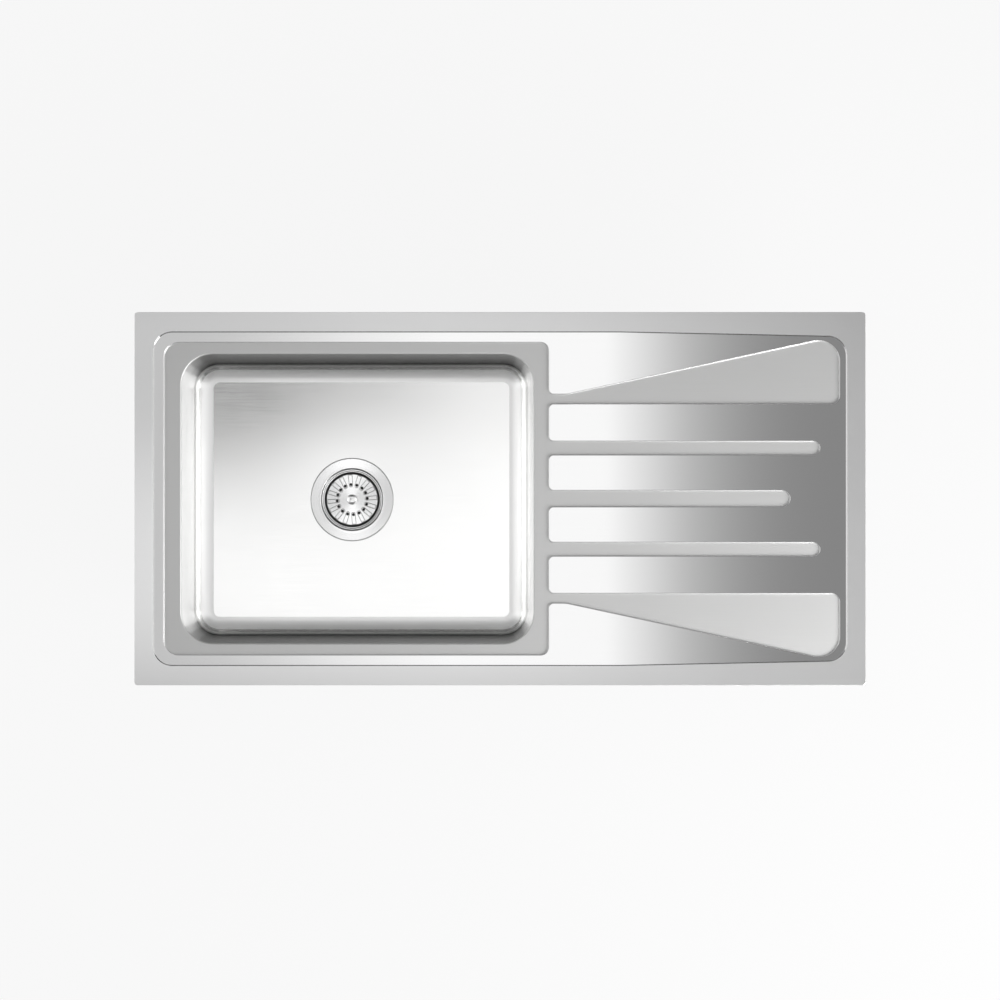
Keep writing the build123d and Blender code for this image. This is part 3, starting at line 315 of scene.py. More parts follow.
# %% Lamps and world
def lamp(name, size, place, power, aim=None):
    """A rectangular lamp that points straight down or towards the aim."""
    light = bpy.data.lights.new(name, "AREA")
    light.shape = "RECTANGLE"
    light.size, light.size_y = size
    light.energy = power
    made = bpy.data.objects.new(name, light)
    made.location = place
    if aim:
        made.rotation_euler = (Vector(aim) - Vector(place)).to_track_quat("-Z", "Y").to_euler()
    bpy.context.scene.collection.objects.link(made)
    return made


key = lamp("key", (1.0, 1.0), (1.10, -0.85, 0.85), 25.0, aim=(0.1, 0.0, 0.0))
SIDE_LAMPS = [lamp("bowl right lamp", (1.80, 0.60), (1.02, 0.0, 1.0), 4.4),
              lamp("bowl left lamp", (1.60, 0.60), (-1.35, 0.0, 1.0), 4.0)]
END_LAMPS = [lamp("bowl front lamp", (0.50, 0.70), (-0.19, -0.62, 1.0), 0.50),
             lamp("bowl back lamp", (0.50, 0.70), (-0.19, 0.62, 1.0), 0.55)]

SKY_COLOUR, SKY_LEVEL = (0.93, 0.94, 0.95, 1.0), 0.75
world = bpy.data.worlds.new("studio")
bpy.context.scene.world = world
world.use_nodes = True
sky = world.node_tree.nodes["Background"]
sky.inputs["Color"].default_value = SKY_COLOUR
sky.inputs["Strength"].default_value = SKY_LEVEL
print("lamps:", len(bpy.data.lights))

# %% Floor
FLOOR_LEVEL, FLOOR_SIZE = -0.2872, 16.0       # in metres
FLOOR_COLOUR = (0.85, 0.85, 0.85)
WHITE = 0.965                                 # what the eye and reflections see of it
WHITE_SHARE = 0.92                            # the rest is the floor's own shading


def floor_material():
    """Pale floor: near white by eye and in gloss, shadowed, and clear from below."""
    material, tree, shader = new_material("floor", FLOOR_COLOUR, roughness=1.0,
                                          Specular_IOR_Level=0.0)
    path = add_node(tree, "ShaderNodeLightPath").outputs
    seen = maths(tree, "MAXIMUM", path["Is Camera Ray"], path["Is Glossy Ray"])
    seen = maths(tree, "MAXIMUM", seen, path["Is Transmission Ray"])
    glow = add_node(tree, "ShaderNodeEmission", {"Color": (WHITE, WHITE, WHITE, 1.0)})
    blend = add_node(tree, "ShaderNodeMixShader", {
        0: maths(tree, "MULTIPLY", seen, WHITE_SHARE), 1: shader.outputs[0],
        2: glow.outputs[0]})
    clear = add_node(tree, "ShaderNodeMixShader", {
        0: add_node(tree, "ShaderNodeNewGeometry").outputs["Backfacing"],
        1: blend.outputs[0], 2: add_node(tree, "ShaderNodeBsdfTransparent").outputs[0]})
    tree.links.new(clear.outputs[0], tree.nodes["Material Output"].inputs["Surface"])
    return material


ground = panel("floor", (FLOOR_SIZE, FLOOR_SIZE), (0.0, 0.0, FLOOR_LEVEL), (0, 0, 0),
               floor_material())
ground.visible_camera = True
print("floor at", FLOOR_LEVEL)

# %% [markdown]
# ## Surface effects that several finishes share
# Rolled and brushed steel has long fine scratches in one direction, turned parts have
# them in circles, and everything that is handled carries faint marks.  Each effect is
# a shader group, so that a material only says how strong and how fine it is.


# %% Shared shader groups
def straight_grain_group():
    """Long fine scratches along X: Grain is their pattern from 0 to 1."""
    group, ins, outs = new_group("straight grain", {"Across": 900.0, "Along": 9.0}, ["Grain"])
    axes = own_axes(group)
    stretched = add_node(group, "ShaderNodeCombineXYZ", {
        "X": maths(group, "MULTIPLY", axes["X"], ins.outputs["Along"]),
        "Y": maths(group, "MULTIPLY", axes["Y"], ins.outputs["Across"]),
        "Z": maths(group, "MULTIPLY", axes["Z"], ins.outputs["Across"]),
    })
    noise = add_node(group, "ShaderNodeTexNoise", {
        "Vector": stretched.outputs[0], "Scale": 1.0, "Detail": 3.0, "Roughness": 0.6})
    group.links.new(noise.outputs["Fac"], outs.inputs["Grain"])
    return group


def turned_grain_group():
    """Fine circles about the drain: Grain is their pattern from 0 to 1."""
    group, ins, outs = new_group("turned grain", {"Across": 1400.0}, ["Grain"])
    axes = own_axes(group)
    flat = add_node(group, "ShaderNodeCombineXYZ", {
        "X": maths(group, "SUBTRACT", axes["X"], DRAIN.x * MM), "Y": axes["Y"]})
    radius = add_node(group, "ShaderNodeVectorMath", {0: flat.outputs[0]}, operation="LENGTH")
    rings = add_node(group, "ShaderNodeCombineXYZ", {
        "X": maths(group, "MULTIPLY", radius.outputs["Value"], ins.outputs["Across"]),
        "Z": maths(group, "MULTIPLY", axes["Z"], ins.outputs["Across"])})
    noise = add_node(group, "ShaderNodeTexNoise", {
        "Vector": rings.outputs[0], "Scale": 1.0, "Detail": 2.0, "Roughness": 0.6})
    group.links.new(noise.outputs["Fac"], outs.inputs["Grain"])
    return group


def handling_group():
    """Faint wiped patches and tiny specks, each as a mask from 0 to 1."""
    group, ins, outs = new_group("handling", {"Patch size": 6.0, "Speck size": 700.0},
                                 ["Patches", "Specks"])
    where = own_place(group)
    patches = add_node(group, "ShaderNodeTexNoise", {
        "Vector": where, "Scale": ins.outputs["Patch size"], "Detail": 4.0,
        "Roughness": 0.62, "Distortion": 0.6})
    specks = add_node(group, "ShaderNodeTexNoise", {
        "Vector": where, "Scale": ins.outputs["Speck size"], "Detail": 2.0})
    group.links.new(fit(group, patches.outputs["Fac"], 0.0, 1.0, 0.35, 0.68),
                    outs.inputs["Patches"])
    group.links.new(fit(group, specks.outputs["Fac"], 0.0, 1.0, 0.55, 0.75),
                    outs.inputs["Specks"])
    return group


straight_grain = straight_grain_group()
turned_grain = turned_grain_group()
handling = handling_group()
print("groups:", [group.name for group in bpy.data.node_groups])

# %% [markdown]
# ## The finishes
# All the steel is the same metal with a different surface: the rim is a fine satin,
# the plateau is polished almost to a mirror, the ring and channels are blasted to a
# soft grey, and the bowl's floor is a fine satin again.  The difference is mostly
# roughness.  The fillet round the floor is rubbed dull.  The walls have four finishes,
# from the short walls round to the long ones, with painted shade: the long walls are
# painted darker and mirror less at a grazing angle.  The strainer's creases and the
# basket's cup are painted dark, as painted shade.


# %% Steel finishes
def steel(name, colour, rough_low, rough_high, grain_depth, patch=0.02, axis=None,
          across=900.0, anisotropic=0.0):
    """Steel whose scratches and wiped patches vary both roughness and colour."""
    material, tree, shader = new_material(name, colour, metallic=1.0, roughness=rough_low,
                                          Anisotropic=anisotropic)
    grain_group = turned_grain if axis == "Z" else straight_grain
    grain = use_group(tree, grain_group, Across=across)["Grain"]
    if axis:
        around = add_node(tree, "ShaderNodeTangent", direction_type="RADIAL", axis=axis)
        tree.links.new(around.outputs[0], shader.inputs["Tangent"])
    marks = use_group(tree, handling)
    rough = maths(tree, "ADD", fit(tree, grain, rough_low, rough_high, 0.3, 0.7),
                  maths(tree, "MULTIPLY", marks["Patches"], patch))
    tree.links.new(rough, shader.inputs["Roughness"])
    darker = [channel * 0.98 for channel in colour]
    tree.links.new(mix_colours(tree, grain, colour, darker), shader.inputs["Base Color"])
    if grain_depth:
        raise_surface(tree, shader, grain, grain_depth * MM)
    return material


RIM_STEEL = steel("rim satin steel", (0.94, 0.94, 0.94), 0.29, 0.31, 0.001, axis="Y",
                  anisotropic=0.8)
MIRROR_STEEL = steel("polished plateau steel", (0.95, 0.95, 0.95), 0.035, 0.06, 0.0,
                     patch=0.015)
RECESS_STEEL = steel("blasted ring steel", (0.77, 0.77, 0.765), 0.50, 0.56, 0.002,
                     across=1500.0)
BOWL_STEEL = steel("bowl satin steel", (0.95, 0.95, 0.945), 0.14, 0.17, 0.001)
FILLET_STEEL = steel("rubbed fillet steel", (0.93, 0.93, 0.925), 0.42, 0.45, 0.001)
PLAIN_STEEL = steel("unpolished underside steel", (0.62, 0.62, 0.61), 0.40, 0.52, 0.006)
STRAINER_STEEL = steel("turned strainer steel", (0.95, 0.95, 0.95), 0.22, 0.25, 0.001,
                       axis="Z", across=1600.0, anisotropic=0.75)
# Painted shade: the cup and the creases are painted dark, for the shade under the plate and in
# the creases.
CUP_STEEL_PAINTED_SHADE = steel("cup steel painted dark", (0.16, 0.16, 0.16), 0.45, 0.55, 0.003,
                  axis="Z", across=1600.0)
CREASE_STEEL_PAINTED_SHADE = steel("crease steel painted dark", (0.42, 0.42, 0.42), 0.40, 0.50, 0.001,
                     axis="Z", across=1600.0)
POLISHED_STEEL = steel("polished knob steel", (0.93, 0.93, 0.93), 0.20, 0.26, 0.0,
                       axis="Z", anisotropic=0.85)
print("steel finishes:", len([m for m in bpy.data.materials if "steel" in m.name]))

# %% Wall finishes with painted shade
# Painted shade: the long walls' colour is darker than the short walls' steel.
SHORT_WALL, LONG_WALL_PAINTED_SHADE = (0.92, 0.92, 0.915), (0.58, 0.58, 0.575)
# Painted shade too: the long walls' finishes reflect less at a grazing angle.
GRAZING_PAINTED_SHADE = (1.0, 0.75, 0.52, 0.34)             # how much each mirrors at a grazing angle


def walls_with_painted_shade(name, grazing):
    """Drawn steel with painted shade: darker on the long walls, and mirroring less at a grazing
    angle.
    """
    material = steel(name, SHORT_WALL, 0.20, 0.23, 0.001)
    tree = material.node_tree
    shader = tree.nodes["Principled BSDF"]
    # Painted shade: the colour turns darker as the face turns towards the back or front.
    facing = add_node(tree, "ShaderNodeSeparateXYZ", {
        "Vector": add_node(tree, "ShaderNodeNewGeometry").outputs["Normal"]}).outputs["Y"]
    painted_wall_shade = fit(tree, maths(tree, "ABSOLUTE", facing), 0.0, 1.0, 0.35, 0.85)
    tree.links.new(mix_colours(tree, painted_wall_shade, SHORT_WALL, LONG_WALL_PAINTED_SHADE),
                   shader.inputs["Base Color"])
    # Painted shade: a grey specular tint dims the reflection at a grazing angle.
    shader.inputs["Specular Tint"].default_value = (grazing, grazing, grazing, 1.0)
    return material


WALL_STEELS = [walls_with_painted_shade(f"wall steel with painted shade {number}", grazing)
               for number, grazing in enumerate(GRAZING_PAINTED_SHADE)]
print("wall finishes:", [finish.name for finish in WALL_STEELS])

# %% [markdown]
# ## The other finishes
# The clips and rails are zinc-plated, the seals are rubber, the waste is white plastic
# with a brass nut, the strip is foam and the pads are a black damping sheet.  The
# non-metals share one recipe: two near colours in patches, and a fine raised grain.


# %% Zinc, rubber, plastic, foam, damping sheet and brass
def zinc():
    """Zinc plating: soft crystals of slightly different grey, with fine scratches."""
    material, tree, shader = new_material("zinc plating", (0.62, 0.64, 0.66), metallic=1.0,
                                          roughness=0.36)
    crystals = add_node(tree, "ShaderNodeTexVoronoi",
                        {"Vector": own_place(tree), "Scale": 260.0})
    tone = add_node(tree, "ShaderNodeSeparateColor", {"Color": crystals.outputs["Color"]})
    tree.links.new(mix_colours(tree, tone.outputs[0], (0.56, 0.58, 0.60), (0.68, 0.70, 0.72)),
                   shader.inputs["Base Color"])
    marks = use_group(tree, handling, Patch_size=40.0)
    tree.links.new(fit(tree, marks["Patches"], 0.30, 0.46), shader.inputs["Roughness"])
    raise_surface(tree, shader, tone.outputs[0], 0.004 * MM)
    return material


def dull(name, colour, second, roughness, grain_scale, depth):
    """A non-metal finish: two near colours in patches, and a fine raised grain."""
    material, tree, shader = new_material(name, colour, roughness=roughness)
    marks = use_group(tree, handling, Patch_size=20.0, Speck_size=grain_scale)
    tree.links.new(mix_colours(tree, marks["Patches"], colour, second),
                   shader.inputs["Base Color"])
    tree.links.new(fit(tree, marks["Specks"], roughness, roughness * 0.8),
                   shader.inputs["Roughness"])
    raise_surface(tree, shader, marks["Specks"], depth * MM)
    return material


ZINC = zinc()
RUBBER = dull("black rubber", (0.018, 0.018, 0.018), (0.030, 0.030, 0.029), 0.55, 900.0, 0.02)
PLASTIC = dull("white moulded plastic", (0.82, 0.82, 0.80), (0.86, 0.86, 0.84), 0.38,
               1500.0, 0.01)
FOAM = dull("grey foam", (0.15, 0.15, 0.155), (0.22, 0.22, 0.225), 0.9, 1100.0, 0.15)
DAMPING = dull("black damping sheet", (0.045, 0.045, 0.048), (0.075, 0.075, 0.078), 0.75,
               500.0, 0.08)
BRASS = steel("plain brass", (0.78, 0.60, 0.30), 0.28, 0.38, 0.003)
print("finishes:", len(bpy.data.materials))

# %% [markdown]
# ## Outlines
# A pressed sheet is a set of outlines with rounded corners, one inside another.  An
# outline is kept as points with their outward directions, so that moving every point
# along its own direction gives the next loop exactly, round every corner.


# %% Rounded outlines
def rounded_outline(corners, turn_step, longest=None):
    """Points and outward directions of an anticlockwise outline of (x, y, radius).

    Round stretches turn by at most turn_step degrees from point to point."""
    points = []
    for index, (x, y, radius) in enumerate(corners):
        here = Vector((x, y))
        before = Vector(corners[index - 1][:2])
        after = Vector(corners[(index + 1) % len(corners)][:2])
        arriving, leaving = (here - before).normalized(), (after - here).normalized()
        first, last = Vector((arriving.y, -arriving.x)), Vector((leaving.y, -leaving.x))
        turn = math.atan2(arriving.cross(leaving), arriving.dot(leaving))
        side = 1.0 if turn > 0 else -1.0
        centre = here - side * radius * (first + last) / (1.0 + first.dot(last))
        steps = max(3, math.ceil(abs(turn) / math.radians(turn_step)))
        for step in range(steps + 1):
            angle = turn * step / steps
            cosine, sine = math.cos(angle), math.sin(angle)
            out = Vector((first.x * cosine - first.y * sine, first.x * sine + first.y * cosine))
            place = centre + side * radius * out
            if not points or (place - points[-1][0]).length > 0.01:
                points.append((place, out))
    if longest:
        points = divide_runs(points, longest)
    return points


def divide_runs(points, longest):
    """Add points on the straight runs, so that none is longer than longest."""
    divided = []
    for index, (place, out) in enumerate(points):
        following, following_out = points[(index + 1) % len(points)]
        parts = max(1, math.ceil((following - place).length / longest))
        for part in range(parts):
            share = part / parts
            divided.append((place.lerp(following, share),
                            out.lerp(following_out, share).normalized()))
    return divided


def pressed_step(depth, top, bend=BEND, rows=BEND_ROWS, slope=PRESS_SLOPE):
    """(inset, height, lean) down a steep step with rounded bends."""
    reach = bend * math.tan(slope / 2)
    width = depth / math.tan(slope)
    profile = []
    for row in range(rows + 1):
        lean = slope * row / rows
        profile.append((bend * math.sin(lean) - reach, top - bend * (1 - math.cos(lean)), lean))
    for row in range(rows + 1):
        lean = slope * (1 - row / rows)
        profile.append((width + reach - bend * math.sin(lean),
                        top - depth + bend * (1 - math.cos(lean)), lean))
    return profile


outline = rounded_outline(OUTLINE, 10.0)
step_line = rounded_outline(STEP, 5.0)
recess_line = rounded_outline(RECESS_LINE, 6.0)
opening_line = rounded_outline(OPENING, 4.0, 24.0)
print("points:", len(outline), len(step_line), len(recess_line), len(opening_line))

# %% [markdown]
# ## Skins
# A skin collects points with exact normals, and faces that each name a finish.  With
# exact normals a thin bend reflects like real pressed steel, without thousands of
# extra faces.  Flat zones with openings are cut into triangles once and stay flat.


# %% Skins
def loop_area(loop):
    """The area inside a level loop of points."""
    return abs(sum(loop[k - 1].x * loop[k].y - loop[k].x * loop[k - 1].y
                   for k in range(len(loop)))) / 2


class Skin:
    """Points, normals and faces of one piece, in millimetres."""

    def __init__(self):
        self.points, self.normals, self.faces, self.finish = [], [], [], []

    def loop(self, places, normals):
        """Add one loop of points; returns their numbers."""
        start = len(self.points)
        self.points += [Vector(place) for place in places]
        self.normals += [Vector(normal).normalized() for normal in normals]
        return list(range(start, len(self.points)))

    def inset_loop(self, line, inset, height, lean):
        """A loop moved in from an outline; lean turns its normal from up to inwards."""
        places = [(*(place - inset * out), height) for place, out in line]
        sine, cosine = math.sin(lean), math.cos(lean)
        return self.loop(places, [(-out.x * sine, -out.y * sine, cosine) for _, out in line])

    def circle_loop(self, radius, height, lean, count):
        """A circle about the drain; lean turns its normal from up to outwards."""
        turns = [math.tau * step / count for step in range(count)]
        sine, cosine = math.sin(lean), math.cos(lean)
        return self.loop(
            [(DRAIN.x + radius * math.cos(a), DRAIN.y + radius * math.sin(a), height)
             for a in turns],
            [(sine * math.cos(a), sine * math.sin(a), cosine) for a in turns])

    def face(self, corners, finish):
        """One face, turned so that it looks the way its normals do."""
        corners = [c for k, c in enumerate(corners)
                   if (self.points[c] - self.points[corners[k - 1]]).length > 1e-5]
        if len(corners) < 3:
            return
        area = Vector()
        for k in range(len(corners)):
            area += self.points[corners[k - 1]].cross(self.points[corners[k]])
        looks = sum((self.normals[c] for c in corners), Vector())
        if area.dot(looks) < 0:
            corners = corners[::-1]
        self.faces.append(corners)
        self.finish.append(finish)

    def band(self, first, second, finish=0):
        """Join two loops of the same length with a band of quads."""
        for k in range(len(first)):
            n = (k + 1) % len(first)
            self.face([first[k], first[n], second[n], second[k]], finish)

    def bands(self, loops, finish=0):
        """Join a list of loops, each to the next."""
        for first, second in zip(loops, loops[1:]):
            self.band(first, second, finish)

    def flat(self, outer, holes=(), finish=0):
        """Fill a level zone between an outer loop and the openings in it."""
        rings = [outer, *holes]
        numbers = [number for ring in rings for number in ring]
        polygons = [[self.points[number] for number in ring] for ring in rings]
        filled = 0.0
        for corners in tessellate_polygon(polygons):
            self.face([numbers[corner] for corner in corners], finish)
            a, b, c = (self.points[numbers[corner]] for corner in corners)
            filled += (b - a).cross(c - a).length / 2
        wanted = loop_area(polygons[0]) - sum(loop_area(hole) for hole in polygons[1:])
        if abs(filled - wanted) > 1e-3 * wanted:
            print("a level zone is filled with", round(filled, 2), "of", round(wanted, 2))

    def underside(self, thickness, finish):
        """Add the sheet's other face, one thickness behind every point."""
        count, faces = len(self.points), len(self.faces)
        self.points += [p - thickness * n for p, n in zip(self.points, self.normals)]
        self.normals += [-n for n in self.normals]
        for face in self.faces[:faces]:
            self.faces.append([corner + count for corner in reversed(face)])
            self.finish.append(finish)
        return count

    def edge(self, loop, shift, direction, finish):
        """Close the sheet's edge between a loop and its underside."""
        upper = [self.points[number] for number in loop]
        lower = [self.points[number + shift] for number in loop]
        normals = [direction(place) for place in upper]
        self.band(self.loop(upper, normals), self.loop(lower, normals), finish)

    def make(self, name, finishes, body, replaced):
        """Make the Blender object, give it its finishes and tie it to the frame."""
        mesh = bpy.data.meshes.new(name)
        mesh.from_pydata([tuple(p * MM) for p in self.points], [], self.faces)
        for finish in finishes:
            mesh.materials.append(finish)
        mesh.polygons.foreach_set("material_index", self.finish)
        mesh.polygons.foreach_set("use_smooth", [True] * len(self.faces))
        mesh.normals_split_custom_set_from_vertices([tuple(n) for n in self.normals])
        mesh.update()
        made = bpy.data.objects.new(name, mesh)
        bpy.context.scene.collection.objects.link(made)
        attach(made, body)
        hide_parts(*replaced)
        print(f"{name}: {len(self.points)} points, {len(self.faces)} faces")


print("a skin can:", [name for name in vars(Skin) if name[0] != "_"])

# %% [markdown]
# ## The deck
# One sheet makes the whole deck: folded edge, rim, step, plateau, recess and the lip
# that turns down into the bowl.  It could be cut from a grid and displaced, but then
# every crisp bend would need a very fine grid.  Loops along the real outlines put the
# points where the press puts the bends.

# %% Deck
UP, DOWN = Vector((0, 0, 1)), Vector((0, 0, -1))
RIM, MIRROR, GREY, UNDER = range(4)           # the deck's finishes
EDGE_ROWS, LIP_ROWS = 6, 8                    # faces over the rim's and the bowl's edge

deck = Skin()
edge_rows = [deck.inset_loop(outline, 0.0, FOLD_GAP, -math.pi / 2)]
for row in range(EDGE_ROWS + 1):
    lean = -math.pi / 2 * (1 - row / EDGE_ROWS)
    edge_rows.append(deck.inset_loop(outline, RIM_EDGE * (1 + math.sin(lean)),
                                     RIM_TOP - RIM_EDGE * (1 - math.cos(lean)), lean))
deck.bands(edge_rows, RIM)
step_rows = [deck.inset_loop(step_line, *row) for row in pressed_step(STEP_DEPTH, RIM_TOP)]
deck.flat(edge_rows[-1], [step_rows[0]], RIM)
deck.bands(step_rows, MIRROR)
recess_rows = [deck.inset_loop(recess_line, *row)
               for row in pressed_step(RECESS_DEPTH, PLATEAU)]
deck.flat(step_rows[-1], [recess_rows[0]], MIRROR)
deck.bands(recess_rows[:BEND_ROWS + 2], MIRROR)
deck.bands(recess_rows[BEND_ROWS + 1:], GREY)
lip_rows = []
for row in range(LIP_ROWS + 1):
    lean = math.pi / 2 * row / LIP_ROWS
    lip_rows.append(deck.inset_loop(opening_line, BOWL_EDGE * (math.sin(lean) - 1),
                                    RECESS - BOWL_EDGE * (1 - math.cos(lean)), lean))
lip_rows.append(deck.inset_loop(opening_line, 0.0, LIP, math.pi / 2))
deck.flat(recess_rows[-1], [lip_rows[0]], GREY)
deck.bands(lip_rows, GREY)
behind = deck.underside(SHEET, UNDER)
deck.edge(edge_rows[0], behind, lambda place: DOWN, RIM)
deck.edge(lip_rows[-1], behind, lambda place: DOWN, UNDER)
deck.make("pressed_deck", [RIM_STEEL, MIRROR_STEEL, RECESS_STEEL, PLAIN_STEEL],
          "root", ["deck"])

# %% [markdown]
# ## The bowl
# The bowl is drawn from a second sheet and welded under the lip.  Its walls lean
# three degrees, its floor is a very flat cone that falls to the drain, and a wide
# fillet joins them.  For every point of the opening the wall, the fillet and a
# straight ray to the drain are worked out, so the floor is the exact cone.

# %% Bowl walls and fillet
WALL_SHARES = (0.0, 0.02, 0.25, 0.5, 0.75)    # where the wall's rows stand, down its height
FILLET_ROWS = 10
FLOOR_ROW = len(WALL_SHARES) + FILLET_ROWS    # the row where the floor begins
FOOT_ROW = FLOOR_ROW - FILLET_ROWS // 2       # the row half-way round the fillet


def bowl_column(place, out):
    """Points and normals from the lip down the wall and round the fillet."""
    apex = FLOOR - SEAT_RADIUS * FALL         # where the floor's cone would end
    wall_lean = math.pi / 2 - math.atan(DRAFT)
    centre_inset, slope = FLOOR_RADIUS, 0.0
    for _ in range(6):                        # settle where the fillet meets the floor
        ray = place - (centre_inset - FLOOR_RADIUS * math.sin(slope)) * out - DRAIN
        slope = math.atan(FALL * ray.normalized().dot(out))
        centre_height = apex + ray.length * FALL + FLOOR_RADIUS * math.cos(slope)
        wall_end = centre_height - FLOOR_RADIUS * math.cos(wall_lean)
        centre_inset = FLOOR_RADIUS * math.sin(wall_lean) + (LIP - wall_end) * DRAFT
    column = []
    for share in WALL_SHARES:
        height = LIP + (wall_end - LIP) * share
        column.append(((*(place - (LIP - height) * DRAFT * out), height),
                       (-out.x * math.sin(wall_lean), -out.y * math.sin(wall_lean),
                        math.cos(wall_lean))))
    across = Vector((-out.y, out.x))
    sideways = -FALL * ray.normalized().dot(across)
    for row in range(FILLET_ROWS + 1):
        share = row / FILLET_ROWS
        lean = wall_lean + (slope - wall_lean) * share
        spot = place - (centre_inset - FLOOR_RADIUS * math.sin(lean)) * out
        flat = -math.sin(lean) * out + share * sideways * across
        column.append(((*spot, centre_height - FLOOR_RADIUS * math.cos(lean)),
                       (flat.x, flat.y, math.cos(lean))))
    return column


bowl = Skin()
columns = [bowl_column(place, out) for place, out in opening_line]
bowl_rows = [bowl.loop([column[row][0] for column in columns],
                       [column[row][1] for column in columns])
             for row in range(len(columns[0]))]
print("rows down to the floor:", len(bowl_rows))

# %% Bowl floor and drain seat
FLOOR_BANDS, SEAT_ROWS = 7, 5                 # faces along the floor, round each seat bend
floor_ends = [bowl.points[number].xy - DRAIN for number in bowl_rows[FLOOR_ROW]]
start_radius = SEAT_RADIUS + SEAT_BEND
for row in range(1, FLOOR_BANDS + 1):
    share = row / FLOOR_BANDS
    places, normals = [], []
    for end in floor_ends:
        radius = end.length + (start_radius - end.length) * share
        ray = end.normalized()
        places.append((*(DRAIN + radius * ray), FLOOR + (radius - SEAT_RADIUS) * FALL))
        normals.append((-FALL * ray.x, -FALL * ray.y, 1.0))
    bowl_rows.append(bowl.loop(places, normals))


def seat_loop(radius, height, lean):
    """A loop round the drain seat with one point on each ray of the floor."""
    rays = [end.normalized() for end in floor_ends]
    sine, cosine = math.sin(lean), math.cos(lean)
    return bowl.loop([(*(DRAIN + radius * ray), height) for ray in rays],
                     [(-ray.x * sine, -ray.y * sine, cosine) for ray in rays])


for row in range(1, SEAT_ROWS + 1):
    lean = math.pi / 2 * row / SEAT_ROWS
    bowl_rows.append(seat_loop(SEAT_RADIUS + SEAT_BEND * (1 - math.sin(lean)),
                               FLOOR - SEAT_BEND * (1 - math.cos(lean)), lean))
for row in range(SEAT_ROWS + 1):
    lean = math.pi / 2 * (1 - row / SEAT_ROWS)
    bowl_rows.append(seat_loop(SEAT_RADIUS - SEAT_BEND * (1 - math.sin(lean)),
                               SEAT + SEAT_BEND * (1 - math.cos(lean)), lean))
bowl_rows.append(seat_loop(DRAIN_HOLE, SEAT, 0.0))
print("rows of the whole bowl:", len(bowl_rows))

# %% [markdown]
# ### The bowl's faces
# Each wall face takes one of the four wall finishes by the way it looks, so the painted
# shade grows from the short walls to the long ones.  The next finish starts where the
# normal's share along Y passes the next of the turns.

# %% Bowl faces
SATIN, BACK, FILLET, WALL = range(4)          # the bowl's finishes, the walls' last
WALL_TURNS = (0.45, 0.70, 0.88)
# The finish picked here carries the walls' painted shade.
for first, second in zip(bowl_rows[:FOOT_ROW], bowl_rows[1:]):
    for k, start in enumerate(first):
        end = first[(k + 1) % len(first)]
        along = bowl.points[end] - bowl.points[start]
        facing = abs(along.x) / max(along.xy.length, 1e-9)
        look = sum(facing > turn for turn in WALL_TURNS)
        bowl.face([start, end, second[(k + 1) % len(first)], second[k]], WALL + look)
bowl.bands(bowl_rows[FOOT_ROW:FLOOR_ROW + 1], FILLET)
bowl.bands(bowl_rows[FLOOR_ROW:], SATIN)
behind = bowl.underside(SHEET, BACK)
bowl.edge(bowl_rows[0], behind, lambda place: UP, BACK)
bowl.edge(bowl_rows[-1], behind,
          lambda place: Vector((DRAIN.x - place.x, DRAIN.y - place.y, 0)), SATIN)
bowl.make("drawn_bowl", [BOWL_STEEL, PLAIN_STEEL, FILLET_STEEL, *WALL_STEELS],
          "root", ["bowl"])

# %% [markdown]
# ## Turned parts
# The strainer's flange, rubber ring and knob are all turned.  Each is a profile of
# straight runs with rounded corners, spun about the drain's axis.  Heights count from
# the drain seat.


# %% Turned profiles
def turned(skin, corners, count, turn_step=15.0, creases=()):
    """Spin a closed anticlockwise profile of (radius, height, corner radius).

    A crease is (inner radius, outer radius, lowest height, the finish its bands take)."""
    profile = [(place.x, place.y, math.atan2(out.x, out.y))
               for place, out in rounded_outline(corners, turn_step)]
    loops = [skin.circle_loop(radius, SEAT + height, lean, count)
             for radius, height, lean in profile]
    for k, loop in enumerate(loops):
        radius = (profile[k - 1][0] + profile[k][0]) / 2
        height = (profile[k - 1][1] + profile[k][1]) / 2
        own = [look for inner, outer, low, look in creases
               if inner < radius < outer and height > low]
        skin.band(loops[k - 1], loop, own[0] if own else 0)


def holed_disc(skin, outer, inner, holes, top, bottom, count=96):
    """A level disc with an inner edge and holes: both faces, and the holes' walls."""
    for height, lean in ((top, 0.0), (bottom, math.pi)):
        rings = [skin.circle_loop(radius, height, lean, count) for radius in (outer, inner)]
        rings += [skin.inset_loop(hole, 0.0, height, lean) for hole in holes]
        skin.flat(rings[0], rings[1:])
    for hole in holes:
        skin.band(skin.inset_loop(hole, 0.0, top, math.pi / 2),
                  skin.inset_loop(hole, 0.0, bottom, math.pi / 2))


def round_hole(radius, angle, size, count=20):
    """A round hole's outline at a distance and angle from the drain's axis."""
    centre = DRAIN + radius * Vector((math.cos(angle), math.sin(angle)))
    turns = [Vector((math.cos(math.tau * k / count), math.sin(math.tau * k / count)))
             for k in range(count)]
    return [(centre + size * turn, turn) for turn in turns]


print("turned parts are spun about", tuple(DRAIN))

# %% [markdown]
# ### The strainer
# One profile runs under the flange, over its crown and down the throat, and comes back
# up outside.  The throat's creases and its lowest ledge take finishes of their own, both
# painted dark as painted shade.

# %% Strainer
PAINTED_CREASE, SHADED_LEDGE = 1, 2                          # its finishes; 0 is the turned steel
CUP_FLOOR, CUP_UNDER = -34.0, -34.8
CUP_HOLES, CUP_HOLE_RADIUS, CUP_HOLE_PLACE = 8, 4.5, 17.5
DIMPLE_BOTTOM, DIMPLE_UNDER = -40.0, -40.8
